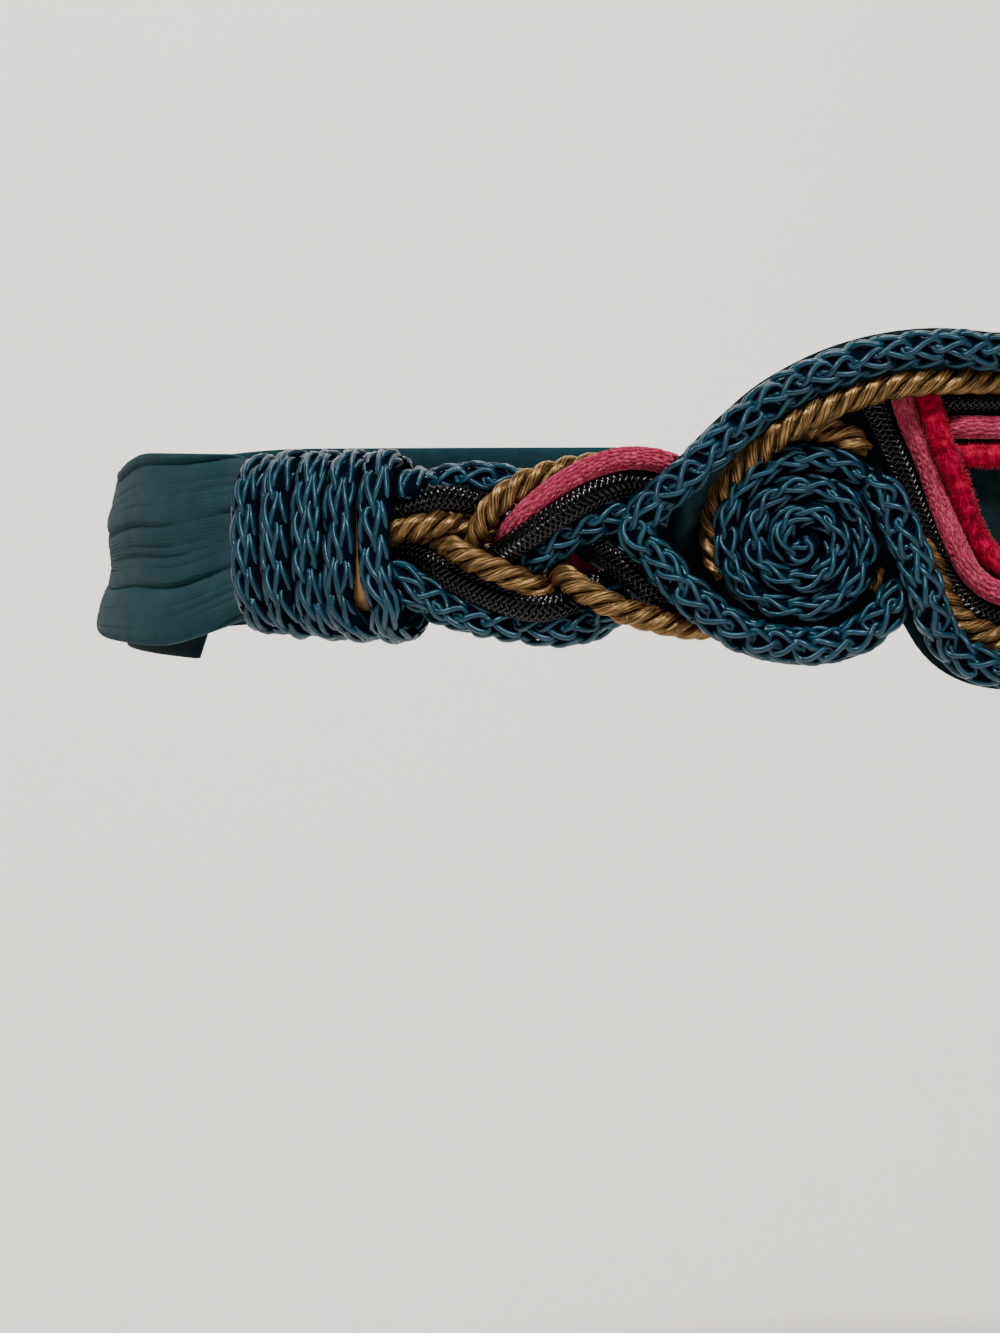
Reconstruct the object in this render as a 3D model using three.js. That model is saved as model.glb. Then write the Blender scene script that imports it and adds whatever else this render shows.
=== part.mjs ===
// Rope belt, worn: a loop of knitted cord, gold rope, flat braid and cloth round a waist.
// Millimetres, +Z up, front towards -Y. The origin is the middle of the waist that the belt holds.
// A place on the belt is (u, v, w): u runs round the waist from the centre front, v is the height,
// and w stands out from the waist. The left half is built and the right half is its mirror.
import * as THREE from "three";

// The waist that the belt lies on
const WAIST_HALF_WIDTH = 122;
const WAIST_HALF_DEPTH = 92;
const HIP_FLARE_RADIUS = 160;

// Cords: half of the width along the belt's surface, and half of the thickness
const TEAL = { half: 2.75, thick: 2.5, sides: 8, color: 0x14505c, roughness: 0.4 };
const GOLD = { half: 1.9, thick: 1.9, sides: 6, color: 0x8c6432, roughness: 0.35 };
const BLACK = { half: 1.8, thick: 1.05, sides: 6, color: 0x101012, roughness: 0.6 };
const ROSE = { half: 1.75, thick: 1.65, sides: 6, color: 0xa33a58, roughness: 0.9 };
const RED = { half: 1.5, thick: 1.5, sides: 6, color: 0xbe002d, roughness: 0.95 };
const BLACK_THIN = { ...BLACK, half: 1.0, thick: 1.0 };
const CORE = { color: 0xbe8748, roughness: 0.8 };
const CLOTH = { color: 0x264b52, roughness: 0.9 };
const BRASS = { color: 0xa08850, roughness: 0.35, metalness: 0.9 };

const TOUCH_GAP = 0.3;
const LAY_GAP = 0.32; // the clearance that neighbouring cords settle to
const BACKING_THICK = 1.2;
const BACKING_MARGIN = 0.6;
const BACKING_CORNER = -59.6;
const SEAT = BACKING_THICK + TOUCH_GAP;

// The barrel, a cord wound round a core between plait and strap; the cord's ends lie behind it
const BARREL_OUTER_END = -115.8;
const BARREL_TURNS = 5;
const BARREL_SQUARENESS = 2.5;
const TURN_HALF = 2.3;
const TURN_THICK = 1.7;
const TURN_PITCH = 2 * TURN_HALF + TOUCH_GAP;
const WIND_FROM = 0.2;
const WIND_TO = BARREL_TURNS - WIND_FROM;
const WIND_GAP = 0.65;
const FRONT_SLANT = 0.4;
const LOOSE_TURN = 4.2;
const LOOSE_SHIFT = 1.3;
const CORE_HALF_HEIGHT = 10.2;
const CORE_HALF_DEPTH = 3.9;
const CORE_RECESS = 1.1;
const BARREL_MIDDLE = CORE_HALF_DEPTH + 2 * TURN_THICK + WIND_GAP;
const BARREL_INNER_END =
  BARREL_OUTER_END + 2 * TURN_HALF + windingShift(WIND_TO) - windingShift(WIND_FROM);

// How far along the barrel the cord has come after so many turns: it climbs mostly at the back,
// and leaves a wider gap before the loose turn.
function windingShift(turn) {
  const loose = THREE.MathUtils.smoothstep(turn, LOOSE_TURN, LOOSE_TURN + 0.3) * LOOSE_SHIFT;
  return TURN_PITCH * (turn + ((1 - FRONT_SLANT) * Math.sin(2 * Math.PI * turn)) / (2 * Math.PI)) + loose;
}

// The rosette, a disc of coiled cord
const ROSETTE_U = -33.2;
const ROSETTE_V = 1.2;
const COIL_HALF = 1.85;
const COIL_THICK = 2.7;
const COIL_PITCH = 2 * COIL_HALF + TOUCH_GAP;
const COIL_INNER_RADIUS = COIL_HALF + 0.3;
const COIL_TURNS = 2.55;
const COIL_END_ANGLE = THREE.MathUtils.degToRad(50);

// The cloth strap
const STRAP_TOP = 12.5;
const STRAP_BOTTOM = -16.2;
const STRAP_THICK = 1.8;
const STRAP_FOLD_DEPTH = 1.3;
const STRAP_FOLDS = 3;
const STRAP_GATHER_LENGTH = 14;
const UNDER_THICK = 1.0;
const UNDER_DROP = 2.6;
const UNDER_START = -129;
const UNDER_GAP = 0.45;
const CLASP_LENGTH = 34;
const CLASP_THICK = 2;
const CLASP_OVERLAP = 14;

// A point of the belt in space
const waist = new THREE.EllipseCurve(
  0, 0, WAIST_HALF_WIDTH, WAIST_HALF_DEPTH, -Math.PI / 2, 1.5 * Math.PI, false, 0,
);
waist.arcLengthDivisions = 1440;
const WAIST_LENGTH = waist.getLength();

function waistFrame(u) {
  const share = (((u / WAIST_LENGTH) % 1) + 1) % 1;
  const foot = waist.getPointAt(share);
  const along = waist.getTangentAt(share);
  return {
    foot,
    along: new THREE.Vector3(along.x, along.y, 0),
    out: new THREE.Vector3(along.y, -along.x, 0),
  };
}

function place(u, v, w) {
  const { foot, out } = waistFrame(u);
  const reach = w + (v * v) / (2 * HIP_FLARE_RADIUS);
  return new THREE.Vector3(foot.x + out.x * reach, foot.y + out.y * reach, v);
}

// A cord's route in (u, v, w), and the direction in which the cord's upper side faces
class Route extends THREE.Curve {
  constructor(flatAt, outAt) {
    super();
    this.flatAt = flatAt;
    this.outAt = outAt ?? (() => new THREE.Vector3(0, 0, 1));
    this.arcLengthDivisions = 400;
  }
  getPoint(t, target = new THREE.Vector3()) {
    const p = this.flatAt(t);
    return target.copy(place(p.x, p.y, p.z));
  }
  computeFrenetFrames(segments) {
    const tangents = [];
    const normals = [];
    const binormals = [];
    for (let i = 0; i <= segments; i++) {
      const t = this.getUtoTmapping(i / segments);
      const frame = waistFrame(this.flatAt(t).x);
      const lean = this.outAt(t);
      const out = new THREE.Vector3(0, 0, lean.y);
      out.addScaledVector(frame.along, lean.x).addScaledVector(frame.out, lean.z);
      const tangent = this.getTangentAt(i / segments);
      const side = new THREE.Vector3().crossVectors(out, tangent).normalize();
      tangents.push(tangent);
      normals.push(side);
      binormals.push(new THREE.Vector3().crossVectors(tangent, side));
    }
    return { tangents, normals, binormals };
  }
}

// A cord's cross-section
function ovalSection(half, thick, sides) {
  const corners = [];
  for (let i = 0; i < sides; i++) {
    const angle = (2 * Math.PI * i) / sides;
    corners.push(new THREE.Vector2(half * Math.cos(angle), thick * Math.sin(angle)));
  }
  return new THREE.Shape(corners);
}

function tube(route, section, steps) {
  return new THREE.ExtrudeGeometry(section, { extrudePath: route, steps, bevelEnabled: false });
}

// A sheet of cloth or plate, each corner of which is set by at(along, across, outside)
function slab(columns, rows, at) {
  const geometry = new THREE.BoxGeometry(1, 1, 1, columns, rows, 1);
  const corners = geometry.getAttribute("position");
  for (let i = 0; i < corners.count; i++) {
    const p = at(corners.getX(i) + 0.5, corners.getY(i) + 0.5, corners.getZ(i) > 0);
    const q = place(p.x, p.y, p.z);
    corners.setXYZ(i, q.x, q.y, q.z);
  }
  geometry.deleteAttribute("normal");
  geometry.deleteAttribute("uv");
  return geometry;
}

const belt = new THREE.Group();

function add(name, geometry, look) {
  const mesh = new THREE.Mesh(
    geometry,
    new THREE.MeshStandardMaterial({
      color: look.color,
      roughness: look.roughness,
      metalness: look.metalness ?? 0,
    }),
  );
  mesh.name = name;
  belt.add(mesh);
}

// Adds name_left as built and name_right as its mirror
function addPair(name, build, look) {
  add(name + "_left", build(1), look);
  add(name + "_right", build(-1), look);
}

// Routes chosen by hand along the middle of each cord, [u, v, w] in millimetres.
// reach "side" ends on the left half, and reach "middle" goes on as its own mirror image.
const CORDS = [
  {
    name: "upper_cord", kind: TEAL, reach: "middle",
    route: [
      [-22.1, -9.4, 4.6], [-24.8, -12.3, 4.4], [-28.6, -14.0, 4.3], [-33.2, -14.5, 4.3], [-38.0, -13.9, 4.8],
      [-41.8, -12.5, 6.0], [-45.7, -9.8, 7.8], [-49.2, -6.2, 9.0], [-52.5, -2.0, 9.4], [-55.0, 1.6, 9.6],
      [-55.3, 3.8, 9.6], [-53.8, 7.0, 9.4], [-51.0, 10.5, 8.8], [-46.2, 15.9, 7.6], [-42.2, 19.3, 6.6],
      [-36.8, 22.9, 6.0], [-29.8, 26.0, 5.8], [-22.8, 27.7, 5.8], [-15.0, 28.2, 5.8], [-7.0, 27.9, 5.8],
      [0, 27.6, 5.8],
    ],
  },
  {
    name: "lower_cord", kind: TEAL, reach: "middle",
    route: [
      [-24.9, 10.6, 4.9], [-22.1, 7.6, 5.2], [-19.9, 3.2, 5.6], [-18.4, -1.4, 5.8], [-17.1, -5.5, 5.8],
      [-15.7, -9.4, 5.6], [-13.7, -12.8, 5.2], [-11.2, -15.2, 5.2], [-8.3, -16.7, 5.2], [-5.0, -17.4, 5.2],
      [0, -17.7, 5.2],
    ],
  },
  {
    name: "gold_rope_top", kind: GOLD, reach: "middle",
    route: [
      [-47.6, -3.4, 3.4], [-48.3, 1.0, 3.4], [-47.6, 5.4, 3.6], [-45.8, 9.6, 3.8], [-43.0, 13.2, 3.8],
      [-39.0, 16.5, 4.0], [-35.0, 18.6, 4.4], [-31.0, 20.4, 4.4], [-26.5, 22.2, 4.0], [-20.0, 23.8, 3.6],
      [-13.0, 24.3, 3.5], [-6.0, 24.2, 3.5], [0, 24.1, 3.5],
    ],
  },
  {
    name: "rosette_rope", kind: GOLD, reach: "side",
    route: [
      [-33.6, 16.6, 3.4], [-31.4, 16.9, 3.4], [-28.4, 16.4, 3.4], [-25.6, 15.2, 3.4], [-23.2, 13.6, 3.4],
    ],
  },
  {
    name: "rope_end", kind: { ...GOLD, half: 1.2, thick: 1.2 }, reach: "side",
    route: [[-21.0, -3.2, 2.8], [-21.3, -4.8, 2.8], [-22.2, -6.4, 2.8]],
  },
  {
    name: "gold_rope_bottom", kind: GOLD, reach: "middle",
    route: [
      [-14.9, -2.4, 3.4], [-13.8, -5.2, 3.4], [-12.2, -8.1, 3.4], [-9.8, -10.7, 3.4], [-6.8, -12.4, 3.4],
      [-3.4, -13.2, 3.4], [0, -13.5, 3.4],
    ],
  },
  {
    name: "black_bow", kind: BLACK, reach: "middle",
    route: [
      [-23.0, 19.3, 2.6], [-22.0, 17.0, 2.6], [-20.4, 13.8, 2.6], [-18.5, 10.2, 2.6], [-16.8, 6.2, 2.6],
      [-15.0, 2.2, 2.6], [-12.9, -1.9, 2.6], [-10.1, -5.6, 2.6], [-6.9, -8.4, 2.6], [-3.5, -9.7, 2.6],
      [0, -10.1, 2.6],
    ],
  },
  {
    name: "rose_bow", kind: ROSE, reach: "middle",
    route: [
      [-18.9, 20.2, 3.3], [-17.9, 16.8, 3.3], [-16.3, 13.2, 3.3], [-14.8, 9.2, 3.3], [-13.1, 4.8, 3.6],
      [-11.2, 0.8, 4.0], [-8.9, -2.7, 4.2], [-6.1, -5.2, 4.2], [-3.1, -6.5, 4.2], [0, -6.9, 4.2],
    ],
  },
  {
    name: "red_bow", kind: RED, reach: "middle",
    route: [
      [-14.9, 20.9, 3.4], [-13.9, 17.2, 3.4], [-12.5, 13.0, 3.4], [-11.2, 9.0, 3.4], [-9.8, 5.2, 3.4],
      [-7.8, 1.7, 3.4], [-5.3, -0.9, 3.4], [-2.7, -2.6, 3.4], [0, -3.2, 3.4],
    ],
  },
  {
    name: "black_bar", kind: BLACK_THIN, reach: "middle",
    route: [[-12.6, 20.8, 2.6], [-6.0, 20.9, 2.6], [0, 20.9, 2.6]],
  },
  {
    name: "rose_bar", kind: ROSE, reach: "middle",
    route: [[-11.7, 17.4, 3.2], [-6.0, 17.4, 3.2], [0, 17.4, 3.2]],
  },
  {
    name: "red_bar", kind: RED, reach: "middle",
    route: [[-10.3, 13.4, 3.1], [-5.0, 13.4, 3.1], [0, 13.4, 3.1]],
  },
  {
    name: "plait_a_teal", kind: TEAL, reach: "side",
    route: [
      [-87.8, 7.8, 8.2], [-85.0, 8.8, 8.2], [-82.0, 9.3, 7.6], [-78.4, 9.4, 6.2], [-74.6, 8.6, 4.0],
      [-70.6, 6.8, 2.8], [-66.4, 4.4, 2.8], [-62.8, 2.4, 2.8], [-60.8, 1.2, 2.8],
    ],
  },
  {
    name: "plait_a_black", kind: BLACK, reach: "side",
    route: [
      [-87.8, 4.2, 9.8], [-85.4, 4.8, 9.6], [-82.6, 5.0, 8.8], [-79.2, 4.8, 6.8], [-75.6, 3.9, 3.8],
      [-71.4, 2.5, 1.6], [-67.4, 1.0, 1.6], [-64.6, -0.2, 2.6], [-61.8, -1.4, 5.2], [-59.2, -3.2, 6.4],
      [-56.8, -5.4, 6.2], [-54.8, -7.6, 5.4], [-53.2, -9.4, 4.8],
    ],
  },
  {
    name: "plait_a_gold", kind: GOLD, reach: "side",
    route: [
      [-87.8, 1.3, 9.8], [-85.6, 2.0, 9.6], [-83.2, 2.6, 8.6], [-81.0, 3.0, 6.8], [-78.4, 3.2, 4.4],
      [-75.2, 2.4, 2.4], [-72.2, 0.4, 2.2], [-69.4, -1.8, 3.2], [-66.6, -3.7, 6.6], [-63.4, -5.4, 8.8],
      [-60.0, -7.2, 8.8], [-56.8, -9.1, 7.4], [-53.6, -10.8, 5.6], [-50.6, -12.0, 4.4], [-48.6, -12.6, 4.0],
    ],
  },
  {
    name: "plait_a_rose", kind: ROSE, reach: "side",
    route: [
      [-66.0, -1.2, 3.6], [-63.4, -2.8, 4.4], [-60.8, -5.6, 4.6], [-58.2, -8.8, 4.2], [-55.4, -11.2, 3.4],
      [-52.2, -12.6, 3.2], [-50.4, -13.3, 3.2],
    ],
  },
  {
    name: "plait_b_gold", kind: GOLD, reach: "side",
    route: [
      [-87.8, 0.2, 5.8], [-85.4, 0.3, 6.2], [-82.8, -0.3, 7.6], [-80.2, -1.5, 8.8], [-77.2, -2.8, 9.2],
      [-73.6, -4.2, 8.8], [-70.2, -5.3, 7.6], [-67.0, -6.2, 6.0], [-64.0, -7.0, 4.4], [-61.2, -7.6, 2.6],
    ],
  },
  {
    name: "plait_b_black", kind: BLACK, reach: "side",
    route: [
      [-87.8, -2.4, 9.6], [-85.8, -2.7, 9.6], [-83.6, -3.6, 9.5], [-80.6, -5.3, 9.4], [-77.0, -6.9, 9.2],
      [-73.0, -8.1, 8.8], [-69.0, -8.7, 7.6], [-65.2, -8.8, 5.8], [-61.4, -8.6, 3.6], [-58.4, -8.4, 2.0],
    ],
  },
  {
    name: "plait_b_teal", kind: TEAL, reach: "side",
    route: [
      [-87.8, -5.8, 7.6], [-86.0, -6.8, 7.6], [-83.2, -8.4, 7.5], [-79.6, -10.0, 7.2], [-75.0, -11.1, 6.8],
      [-70.0, -11.5, 5.8], [-65.4, -11.2, 4.6], [-61.6, -10.6, 3.4], [-59.4, -10.2, 2.8],
    ],
  },
  {
    name: "plait_c_gold", kind: GOLD, reach: "side",
    route: [
      [-87.8, 1.6, 2.3], [-85.4, 0.6, 2.3], [-82.8, -0.8, 2.5], [-80.2, -1.2, 3.2], [-78.2, 0.6, 5.4],
      [-77.6, 3.6, 8.0], [-76.9, 6.8, 9.2], [-74.6, 9.8, 9.4], [-71.0, 11.7, 8.6], [-66.6, 12.9, 7.0],
      [-61.6, 13.6, 5.2], [-57.6, 13.9, 4.2], [-54.4, 14.0, 3.8], [-51.8, 14.0, 3.6],
    ],
  },
  {
    name: "plait_c_rose", kind: ROSE, reach: "side",
    route: [
      [-87.8, -1.6, 2.0], [-85.4, -2.6, 2.0], [-82.8, -3.6, 2.1], [-80.0, -3.6, 2.4], [-77.0, -1.4, 3.8],
      [-75.0, 1.6, 6.6], [-73.2, 4.9, 8.8], [-70.2, 7.9, 9.4], [-65.8, 10.3, 9.2], [-61.4, 11.7, 8.0],
      [-57.6, 12.2, 6.4], [-54.4, 11.9, 5.0], [-51.6, 11.4, 4.2],
    ],
  },
  {
    name: "plait_c_black", kind: BLACK, reach: "side",
    route: [
      [-87.8, -5.0, 6.4], [-85.4, -5.0, 6.4], [-82.4, -5.2, 6.2], [-79.4, -4.8, 5.8], [-76.2, -3.2, 5.6],
      [-73.8, -0.9, 6.8], [-71.3, 2.0, 8.8], [-67.7, 4.9, 9.4], [-63.7, 7.1, 9.0], [-59.8, 8.6, 7.6],
      [-56.2, 9.0, 6.0], [-53.2, 8.8, 5.0],
    ],
  },
  {
    name: "plait_c_teal", kind: TEAL, reach: "side",
    route: [
      [-87.8, -6.2, 2.8], [-84.6, -7.0, 2.8], [-81.2, -7.2, 2.8], [-78.0, -6.6, 2.8], [-74.8, -5.0, 4.2],
      [-71.6, -2.8, 6.6], [-68.3, -0.4, 7.6], [-64.8, 1.4, 7.4], [-61.6, 2.8, 6.4],
    ],
  },
];

// Cords settle against each other: each is a row of beads that hold their place along the belt
// and give way where they would touch, mostly by rising or sinking.
const BEAD_STEP = 1.5;
const SETTLE_ROUNDS = 260;
const HOLD_SIDEWAYS = 0.06;
const HOLD_HEIGHT = 0.012;
const SIDEWAYS_SHARE = 0.45;
const STIFFNESS = 0.3;

function beadsOf(cord) {
  const points = cord.route.map(([u, v, w]) => new THREE.Vector3(u, v, w));
  const curve = new THREE.CatmullRomCurve3(points, false, "centripetal");
  const count = Math.max(3, Math.round(curve.getLength() / BEAD_STEP));
  return curve.getSpacedPoints(count);
}

// The rosette's cord, counted back from its outer end
function coilPoint(turnsBack) {
  const angle = COIL_END_ANGLE + turnsBack * 2 * Math.PI;
  const radius = COIL_INNER_RADIUS + COIL_PITCH * (COIL_TURNS - turnsBack);
  return new THREE.Vector3(
    ROSETTE_U + radius * Math.cos(angle), ROSETTE_V + radius * Math.sin(angle), SEAT + COIL_THICK,
  );
}

// How far a cord reaches towards a neighbour that lies beside it, above it or in between
function contactRadius(kind, flatShare) {
  const rise = 1 - flatShare;
  return 1 / Math.sqrt(flatShare / kind.half ** 2 + rise / kind.thick ** 2);
}

function settle(cords) {
  const beads = [];
  for (const cord of cords) {
    cord.beads = beadsOf(cord).map((start) => ({
      cord, kind: cord.kind, start, at: start.clone(), fixed: false,
    }));
    beads.push(...cord.beads);
  }
  const coilKind = { half: COIL_HALF, thick: COIL_THICK };
  for (let back = 0.03; back < 1.3; back += 0.03) {
    const start = coilPoint(back);
    beads.push({ cord: null, kind: coilKind, start, at: start, fixed: true });
  }
  const apart = new THREE.Vector3();
  for (let round = 0; round < SETTLE_ROUNDS; round++) {
    const holding = round < SETTLE_ROUNDS * 0.85 ? 1 : 0;
    for (let i = 0; i < beads.length; i++) {
      for (let j = i + 1; j < beads.length; j++) {
        const a = beads[i];
        const b = beads[j];
        if (a.cord === b.cord) continue;
        apart.subVectors(a.at, b.at);
        const distance = apart.length();
        if (distance > 7) continue;
        const flatShare = (apart.x * apart.x + apart.y * apart.y) / (distance * distance + 1e-9);
        const wanted = contactRadius(a.kind, flatShare) + contactRadius(b.kind, flatShare) + LAY_GAP;
        if (distance >= wanted) continue;
        const both = a.fixed || b.fixed ? 1 : 0.5;
        apart.multiplyScalar((both * (wanted - distance)) / (distance + 1e-9));
        apart.x *= SIDEWAYS_SHARE;
        apart.y *= SIDEWAYS_SHARE;
        if (!a.fixed) a.at.add(apart);
        if (!b.fixed) b.at.sub(apart);
      }
    }
    for (const cord of cords) {
      const shift = cord.beads.map((bead) => bead.at.clone().sub(bead.start));
      cord.beads.forEach((bead, i) => {
        const before = shift[Math.max(0, i - 1)];
        const after = shift[Math.min(shift.length - 1, i + 1)];
        const even = before.clone().add(after).multiplyScalar(0.5);
        const moved = shift[i].clone().lerp(even, STIFFNESS);
        moved.x *= 1 - HOLD_SIDEWAYS * holding;
        moved.y *= 1 - HOLD_SIDEWAYS * holding;
        moved.z *= 1 - HOLD_HEIGHT * holding;
        bead.at.addVectors(bead.start, moved);
        const seat = bead.at.x > BACKING_CORNER ? SEAT : TOUCH_GAP;
        bead.at.z = Math.max(bead.at.z, seat + bead.kind.thick);
      });
      if (cord.reach === "middle") cord.beads[cord.beads.length - 1].at.x = 0;
    }
  }
}

function mirrored(point) {
  return new THREE.Vector3(-point.x, point.y, point.z);
}

// Settled beads become one tube per cord
const TUBE_STEP = 3.5;

function cordGeometry(cord, mirror) {
  let points = cord.beads.map((bead) => bead.at);
  if (cord.reach === "middle") {
    points = [...points, ...points.slice(0, -1).reverse().map(mirrored)];
  } else if (mirror < 0) {
    points = points.map(mirrored);
  }
  const curve = new THREE.CatmullRomCurve3(points, false, "centripetal");
  const steps = Math.max(2, Math.round(curve.getLength() / TUBE_STEP));
  const section = ovalSection(cord.kind.half, cord.kind.thick, cord.kind.sides);
  return tube(new Route((t) => curve.getPoint(t)), section, steps);
}

settle(CORDS);
for (const cord of CORDS) {
  if (cord.reach === "middle") add(cord.name, cordGeometry(cord, 1), cord.kind);
  else addPair(cord.name, (mirror) => cordGeometry(cord, mirror), cord.kind);
}

// Rosettes, coiled flat
const COIL_STEPS_PER_TURN = 14;

function rosetteGeometry(mirror) {
  const flatAt = (t) => {
    const p = coilPoint((1 - t) * COIL_TURNS);
    return new THREE.Vector3(mirror * p.x, p.y, p.z);
  };
  const steps = Math.round(COIL_TURNS * COIL_STEPS_PER_TURN);
  return tube(new Route(flatAt), ovalSection(COIL_HALF, COIL_THICK, 6), steps);
}

addPair("rosette", rosetteGeometry, TEAL);

// Barrels: a core, and the cord that is wound round it
function roundedAt(angle, halfHeight, halfDepth) {
  const power = 2 / BARREL_SQUARENESS;
  const c = Math.cos(angle);
  const s = Math.sin(angle);
  return [
    halfHeight * Math.sign(c) * Math.abs(c) ** power,
    halfDepth * Math.sign(s) * Math.abs(s) ** power,
  ];
}

const WIND_HALF_HEIGHT = CORE_HALF_HEIGHT + TURN_THICK + WIND_GAP;
const WIND_HALF_DEPTH = CORE_HALF_DEPTH + TURN_THICK + WIND_GAP;
const WIND_STEPS_PER_TURN = 13;

function windingAt(t, mirror) {
  const turn = THREE.MathUtils.lerp(WIND_FROM, WIND_TO, t);
  const u = BARREL_OUTER_END + TURN_HALF + windingShift(turn) - windingShift(WIND_FROM);
  const [v, depth] = roundedAt(2 * Math.PI * turn - Math.PI / 2, WIND_HALF_HEIGHT, WIND_HALF_DEPTH);
  return new THREE.Vector3(mirror * u, v, BARREL_MIDDLE + depth);
}

function windingOut(t) {
  const turn = THREE.MathUtils.lerp(WIND_FROM, WIND_TO, t);
  const [v, depth] = roundedAt(2 * Math.PI * turn - Math.PI / 2, WIND_HALF_HEIGHT, WIND_HALF_DEPTH);
  const grow = BARREL_SQUARENESS - 1;
  const rise = Math.sign(v) * (Math.abs(v) / WIND_HALF_HEIGHT) ** grow / WIND_HALF_HEIGHT;
  const stand = Math.sign(depth) * (Math.abs(depth) / WIND_HALF_DEPTH) ** grow / WIND_HALF_DEPTH;
  return new THREE.Vector3(0, rise, stand).normalize();
}

addPair(
  "wrap_cord",
  (mirror) => {
    const route = new Route((t) => windingAt(t, mirror), windingOut);
    const steps = Math.round((WIND_TO - WIND_FROM) * WIND_STEPS_PER_TURN);
    return tube(route, ovalSection(TURN_HALF, TURN_THICK, 6), steps);
  },
  TEAL,
);

const CORE_CORNERS = 18;

addPair(
  "wrap_core",
  (mirror) => {
    const corners = [];
    for (let i = 0; i < CORE_CORNERS; i++) {
      const angle = (-2 * Math.PI * i) / CORE_CORNERS;
      const [v, depth] = roundedAt(angle, CORE_HALF_HEIGHT, CORE_HALF_DEPTH);
      corners.push(new THREE.Vector2(mirror * v, depth));
    }
    if (mirror > 0) corners.reverse();
    const from = BARREL_OUTER_END + TOUCH_GAP;
    const to = BARREL_INNER_END - CORE_RECESS;
    const flatAt = (t) => new THREE.Vector3(mirror * THREE.MathUtils.lerp(from, to, t), 0, BARREL_MIDDLE);
    return tube(new Route(flatAt), new THREE.Shape(corners), 3);
  },
  CORE,
);

// Strap: a gathered band with long folds, thicker and narrower where the barrel takes it
const STRAP_COLUMNS = 13;
const STRAP_ROWS = 12;
const UNDER_ROWS = 4;
const STRAP_START = BARREL_OUTER_END - TOUCH_GAP;
const STRAP_END = -WAIST_LENGTH / 2 + CLASP_LENGTH / 2 - CLASP_OVERLAP;
const UNDER_LAYER = UNDER_THICK + UNDER_GAP;

function foldAt(u, share) {
  const wander = 0.35 * Math.sin(u / 23) + 0.2 * Math.sin(u / 9);
  return 0.5 + 0.5 * Math.cos(2 * Math.PI * (STRAP_FOLDS * share + wander));
}

function strapAt(along, across, outside) {
  const u = THREE.MathUtils.lerp(STRAP_START, STRAP_END, along ** 1.25);
  const gather = 1 - THREE.MathUtils.smoothstep(STRAP_START - u, 0, STRAP_GATHER_LENGTH);
  const top = STRAP_TOP - gather * (STRAP_TOP - CORE_HALF_HEIGHT);
  const bottom = STRAP_BOTTOM - gather * (STRAP_BOTTOM + CORE_HALF_HEIGHT);
  const lift = gather * (BARREL_MIDDLE - STRAP_THICK - UNDER_LAYER);
  const fold = STRAP_FOLD_DEPTH * foldAt(u, across);
  const w = UNDER_LAYER + lift + fold + (outside ? STRAP_THICK : 0);
  return new THREE.Vector3(u, THREE.MathUtils.lerp(bottom, top, across), w);
}

function underAt(along, across, outside) {
  const v = THREE.MathUtils.lerp(STRAP_BOTTOM - UNDER_DROP, STRAP_TOP - 3, across);
  const start = UNDER_START - (across < 0.5 ? 6 * (1 - 2 * across) : 0);
  const u = THREE.MathUtils.lerp(start, STRAP_END, along);
  return new THREE.Vector3(u, v, outside ? UNDER_THICK : 0);
}

// The slab turned round for the left half, so that its outer face stays outside
function oriented(at, mirror) {
  return (along, across, outside) => {
    const p = at(mirror < 0 ? along : 1 - along, across, outside);
    p.x *= mirror;
    return p;
  };
}

addPair("waist_strap", (mirror) => slab(STRAP_COLUMNS, STRAP_ROWS, oriented(strapAt, mirror)), CLOTH);
addPair("strap_under", (mirror) => slab(STRAP_COLUMNS, UNDER_ROWS, oriented(underAt, mirror)), CLOTH);

// The closing plate over both strap ends at the back
const CLASP_BASE = UNDER_LAYER + STRAP_FOLD_DEPTH + STRAP_THICK + TOUCH_GAP;

add(
  "back_clasp",
  slab(4, 1, (along, across, outside) => {
    const u = WAIST_LENGTH / 2 + CLASP_LENGTH * (along - 0.5);
    const v = THREE.MathUtils.lerp(STRAP_BOTTOM + 1, STRAP_TOP - 1, across);
    return new THREE.Vector3(u, v, CLASP_BASE + (outside ? CLASP_THICK : 0));
  }),
  BRASS,
);

// Backing cloth, cut along the outer edges of the teal cords
const BACKING_COLUMNS = 34;
const BACKING_ROWS = 4;

function edgeAt(u, side) {
  let edge = -Infinity;
  for (const cord of CORDS) {
    if (cord.name !== "upper_cord" && cord.name !== "lower_cord") continue;
    const reach = cord.kind.half + BACKING_MARGIN;
    for (const { at } of cord.beads) {
      const offset = Math.abs(at.x + Math.abs(u));
      if (offset < reach) edge = Math.max(edge, side * at.y + Math.sqrt(reach ** 2 - offset ** 2));
    }
  }
  return side * edge;
}

const corner = Math.max(BACKING_CORNER, Math.min(...CORDS[0].beads.map((bead) => bead.at.x)) - TEAL.half);

add(
  "motif_backing",
  slab(BACKING_COLUMNS, BACKING_ROWS, (along, across, outside) => {
    const u = corner * (1 - 2 * along);
    return new THREE.Vector3(
      u, THREE.MathUtils.lerp(edgeAt(u, -1), edgeAt(u, 1), across), outside ? BACKING_THICK : 0,
    );
  }),
  CLOTH,
);

export default belt;
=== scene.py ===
# Rope belt, worn: knitted, twisted and braided cords on dark cloth, with a gathered strap behind.
# Metres, +Z up, front towards -Y. A place on the belt is (u, v, w), as its maker would measure it:
# u round the waist from the centre front, v the height, w out from the waist.
import math

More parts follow.
